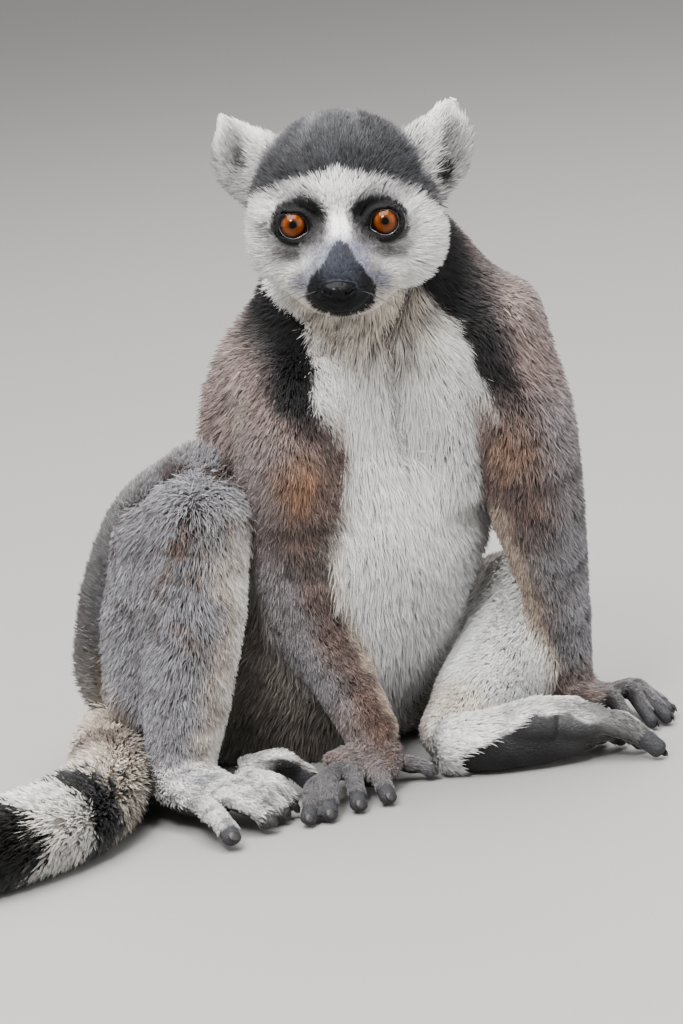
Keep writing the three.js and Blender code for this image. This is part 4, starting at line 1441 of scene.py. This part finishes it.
EAR_TIPS = {"right": ear_tip(-49.6, 47), "left": ear_tip(47.6, 50.8)}
HEAD_CENTRE = from_head((0, 0, 0))
WOOLLY = ["thigh_right", "shank_right", "calf", "thigh_left", "arm_right", "arm_left"]
LAID, UPRIGHT = 0.1, 0.86  # the least and the most that a lock rises, as a share of its length
DEEP = 24  # mm below the coat's outline, where locks are hidden and few
HIDDEN_SHARE = 0.2  # of the locks that grow elsewhere
SUNK = 0.4  # mm that roots lie inside the skin
FLOOR_LEAST = 0.25  # mm that a lock stays above the floor
# Painted shade at each lock's middle and painted light at its tip.
MIDDLE_SHADE, TIP_PAINTED_LIGHT = 0.93, 1.06  # of the lock's own colour
PATCH = 0.003  # how much of the coat's UV map one lock takes
LOCK_FACES = [(0, 2, 1), (3, 1, 2), (0, 1, 3), (0, 3, 2)]  # of root, two points at the middle, and tip


def spread_roots(chosen, count, rng):
    """For each lock, the triangle it grows on and the weights of that triangle's corners.

    Roots are drawn one from each equal step of the chosen skin's area, which counts for more where locks are
    small, and for less where the skin is bare or hidden.
    """
    along = skin_facts["along"][skin_triangles[chosen, 0]]
    length, width, _ = lock_sizes(corners[chosen].mean(1), lead_of_triangle[chosen], along)
    keep = 1 - skin_facts["bare"][skin_triangles[chosen]].mean(1)
    hidden = room[skin_triangles[chosen]].mean(1) > DEEP
    weight = areas[chosen] * ramp(keep, 0.3, 0.8) / (length * width) ** 0.75 * np.where(hidden, HIDDEN_SHARE, 1)
    ladder = np.cumsum(weight)
    picks = np.searchsorted(ladder, (np.arange(count) + rng.random(count)) / count * ladder[-1])
    triangle = chosen[np.minimum(picks, len(chosen) - 1)]
    weights = rng.random((count, 2))
    weights = np.where(weights.sum(1, keepdims=True) > 1, 1 - weights, weights)
    return triangle, np.column_stack([weights, 1 - weights.sum(1)])


def lay_tips(root, normal, depth, facts, rng):
    """Each lock's tip, its length and width, and the share of its length that it rises.

    A tip lies along the hair, waved and strayed, and rises to the coat's depth. It is drawn towards its gathering
    place and, on the outer ear, towards the ear's tip, and is then pulled back inside the coat's outline.
    """
    count = len(root)
    length, width, clump = lock_sizes(root, facts["lead"], facts["along"])
    length = length * rng.uniform(0.72, 1.2, count)
    home = np.array(PART_ORDER)[facts["lead"]]
    on_ear = np.char.startswith(home, "ear")
    crown = (home == "head") * ramp(face_plane(to_head(root))[1], 18, 26)
    loose = 1 + 0.6 * on_ear + crown
    loose = loose + 0.9 * np.isin(home, WOOLLY)
    wave = np.stack([cloud(root, 16, 40 + k) for k in range(3)], 1) * 0.35
    stray = rng.normal(0, 0.13, (count, 3)) * loose[:, None]
    lie = facts["lie"] + wave + stray
    stand = (unit(lie) * normal).sum(1)
    lie = unit(lie - normal * (lie * normal).sum(1, keepdims=True))
    lift = np.clip(depth * rng.uniform(0.66, 1.06, count) / length, LAID, UPRIGHT)
    tuft = on_ear * ramp(facts["along"], 0.45, 0.85)
    lift = np.maximum(lift * (1 - 0.5 * tuft), 0.98 * ramp(stand, 0.45, 0.9))
    tip = root + (lie * np.sqrt(1 - lift**2)[:, None] + normal * lift[:, None]) * length[:, None]

    gather = near_gather(root, clump, 60)
    meet = gather - normal * ((gather - root) * normal).sum(1, keepdims=True)
    tip = tip + (meet - root) * rng.uniform(0.1, 0.68, count)[:, None]
    toward = np.where(root[:, :1] > HEAD_CENTRE[0], EAR_TIPS["left"], EAR_TIPS["right"]) - root
    reach = np.linalg.norm(toward, axis=1)
    pointed = root + unit(toward) * (np.minimum(reach, length * 1.35) * rng.uniform(0.75, 1.02, count))[:, None]
    tip = tip + (pointed + stray * 2.5 - tip) * (0.9 * tuft)[:, None]

    over = np.maximum(body_distance(tip, 0.0) - 0.6 - 7 * tuft, 0)
    tip = tip - normal * np.minimum(over, 2)[:, None]
    tip = tip - unit(tip - root) * np.clip(over - 2, 0, length * 0.75)[:, None]
    return tip, length, width, lift


def lock_shapes(root, tip, middle, normal, width, rng):
    """The four points of each lock, turned a little about its length, and normals that lean with the skin's."""
    ahead = unit(tip - root)
    across = unit(np.cross(ahead, normal))
    spin = rng.uniform(-0.45, 0.45, len(root))[:, None]
    across = across * np.cos(spin) + np.cross(across, ahead) * np.sin(spin)
    half = across * (width / 2)[:, None]
    points = np.stack([root, middle - half, middle + half, tip], 1).reshape(-1, 3)
    points[:, 2] = np.maximum(points[:, 2], FLOOR_LEAST)
    upright = unit(normal - ahead * (ahead * normal).sum(1, keepdims=True) * 0.6)
    normals = [upright, unit(upright - across * 0.4), unit(upright + across * 0.4), upright]
    return points, np.stack(normals, 1).reshape(-1, 3)


def lock_colours(root, colour, rng):
    """Colours of each lock's points: its marking's, unevenly bright, with painted shade at the root and painted
    light at the tip.
    """
    light = colour.mean(1)
    brightness = 1 + rng.normal(0, 1, len(root)) * (0.05 + 0.18 * (1 - light))
    brightness = brightness + (0.03 + 0.26 * (1 - light)) * (cloud(root, 1.6, 50) + 0.6 * cloud(root, 4.5, 51))
    even = np.ones(len(root))
    # Painted shade at each lock's root, less on pale locks, a little at its middle, and painted light at its tip.
    painted_shading = np.stack([0.42 + 0.43 * light, MIDDLE_SHADE * even, MIDDLE_SHADE * even, TIP_PAINTED_LIGHT * even], 1)
    own = colour * brightness[:, None]
    return linear(np.clip(own[:, None, :] * painted_shading[:, :, None], 0.02, 0.97)).reshape(-1, 3)


def bake_places(facts):
    """Places of each lock's points in the bake map: a strip for each part, along it and round it."""
    strips = np.unique(facts["lead"])
    strip = np.searchsorted(strips, facts["lead"])
    u = 0.01 + 0.98 * (strip + 0.02 + 0.96 * facts["turn"]) / len(strips)
    v = 0.01 + 0.98 * np.clip(facts["along"], 0, 1)
    patch = np.array([(0, -0.5), (-0.45, 0), (0.45, 0), (0, 0.5)]) * PATCH
    return (np.stack([u, v], 1)[:, None] + patch).reshape(-1, 2)


def grow_coat(name, slot, chosen, count, seed):
    """One piece of coat on the triangles chosen, with `count` locks."""
    rng = np.random.default_rng(seed)
    triangle, weights = spread_roots(chosen, count, rng)
    root = value_at(skin_points, triangle, weights)
    normal = unit(value_at(skin_normals, triangle, weights))
    facts = survey(root)
    tip, length, width, lift = lay_tips(root, normal, value_at(room, triangle, weights), facts, rng)
    middle = root * 0.55 + tip * 0.45 + normal * (0.12 + length * lift * 0.16)[:, None]
    root = root - normal * SUNK
    points, normals = lock_shapes(root, tip, middle, normal, width, rng)
    first = np.arange(count)[:, None] * 4
    triangles = np.concatenate([first + np.array(face) for face in LOCK_FACES])
    piece = make_mesh(name, points, triangles)
    piece.data.normals_split_custom_set_from_vertices(normals)
    give_attribute(piece.data, "lock", "FLOAT_COLOR", lock_colours(root, facts["colour"], rng))
    uv = piece.data.uv_layers.new(name="OFBake")
    uv.data.foreach_set("uv", bake_places(facts)[triangles.ravel()].astype(np.float32).ravel())
    piece.data.materials.append(coat_materials[slot])
    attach(piece, "root")


lead_of_triangle = skin_facts["lead"][skin_triangles[:, 0]]
lead_names = np.array(PART_ORDER)[lead_of_triangle]
triangle_middles = corners.mean(1)
triangle_head = to_head(triangle_middles)


def rows_of(*starts):
    """Triangles whose part's name starts with one of these."""
    return np.any([np.char.startswith(lead_names, start) for start in starts], axis=0)


FACE_FROM = 18  # mm in front of the middle of the head
on_lids = np.zeros(len(triangle_head), bool)
for name in EYES:
    far, angle, turn = eye_polar(triangle_head, name)
    on_lids |= (far < 12.5) & (angle < lid_opening(turn, name) + 0.26)
on_nose = nose_distance(triangle_middles) < 0.3
face = rows_of("head") & (triangle_head[:, 1] > FACE_FROM) & ~on_lids & ~on_nose
crown = rows_of("head", "ear") & (triangle_head[:, 1] <= FACE_FROM)
frontward = triangle_middles[:, 1] < np.interp(triangle_middles[:, 2], [20, 120, 220], [60, 20, 0])
COATS = [
    ("coat_face", "head_coat", face, 49000),
    ("coat_crown", "head_coat", crown, 44000),
    ("coat_chest", "body_coat", rows_of("trunk", "shoulder", "breast") & frontward, 46000),
    ("coat_back", "body_coat", rows_of("trunk", "shoulder", "breast") & ~frontward, 35000),
    ("coat_arm_right", "limb_coat", rows_of("arm_right"), 33000),
    ("coat_arm_left", "limb_coat", rows_of("arm_left"), 30000),
    ("coat_leg_right", "limb_coat", rows_of("thigh_right", "shank_right", "calf"), 49500),
    ("coat_leg_left", "limb_coat", rows_of("thigh_left", "shank_left"), 34000),
    ("coat_tail", "tail_coat", rows_of("tail"), 32500),
    ("coat_paws", "limb_coat", rows_of(*BARE_PARTS), 22000),
]
for seed, (name, slot, rows, count) in enumerate(COATS):
    grow_coat(name, slot, np.flatnonzero(rows), count, seed)
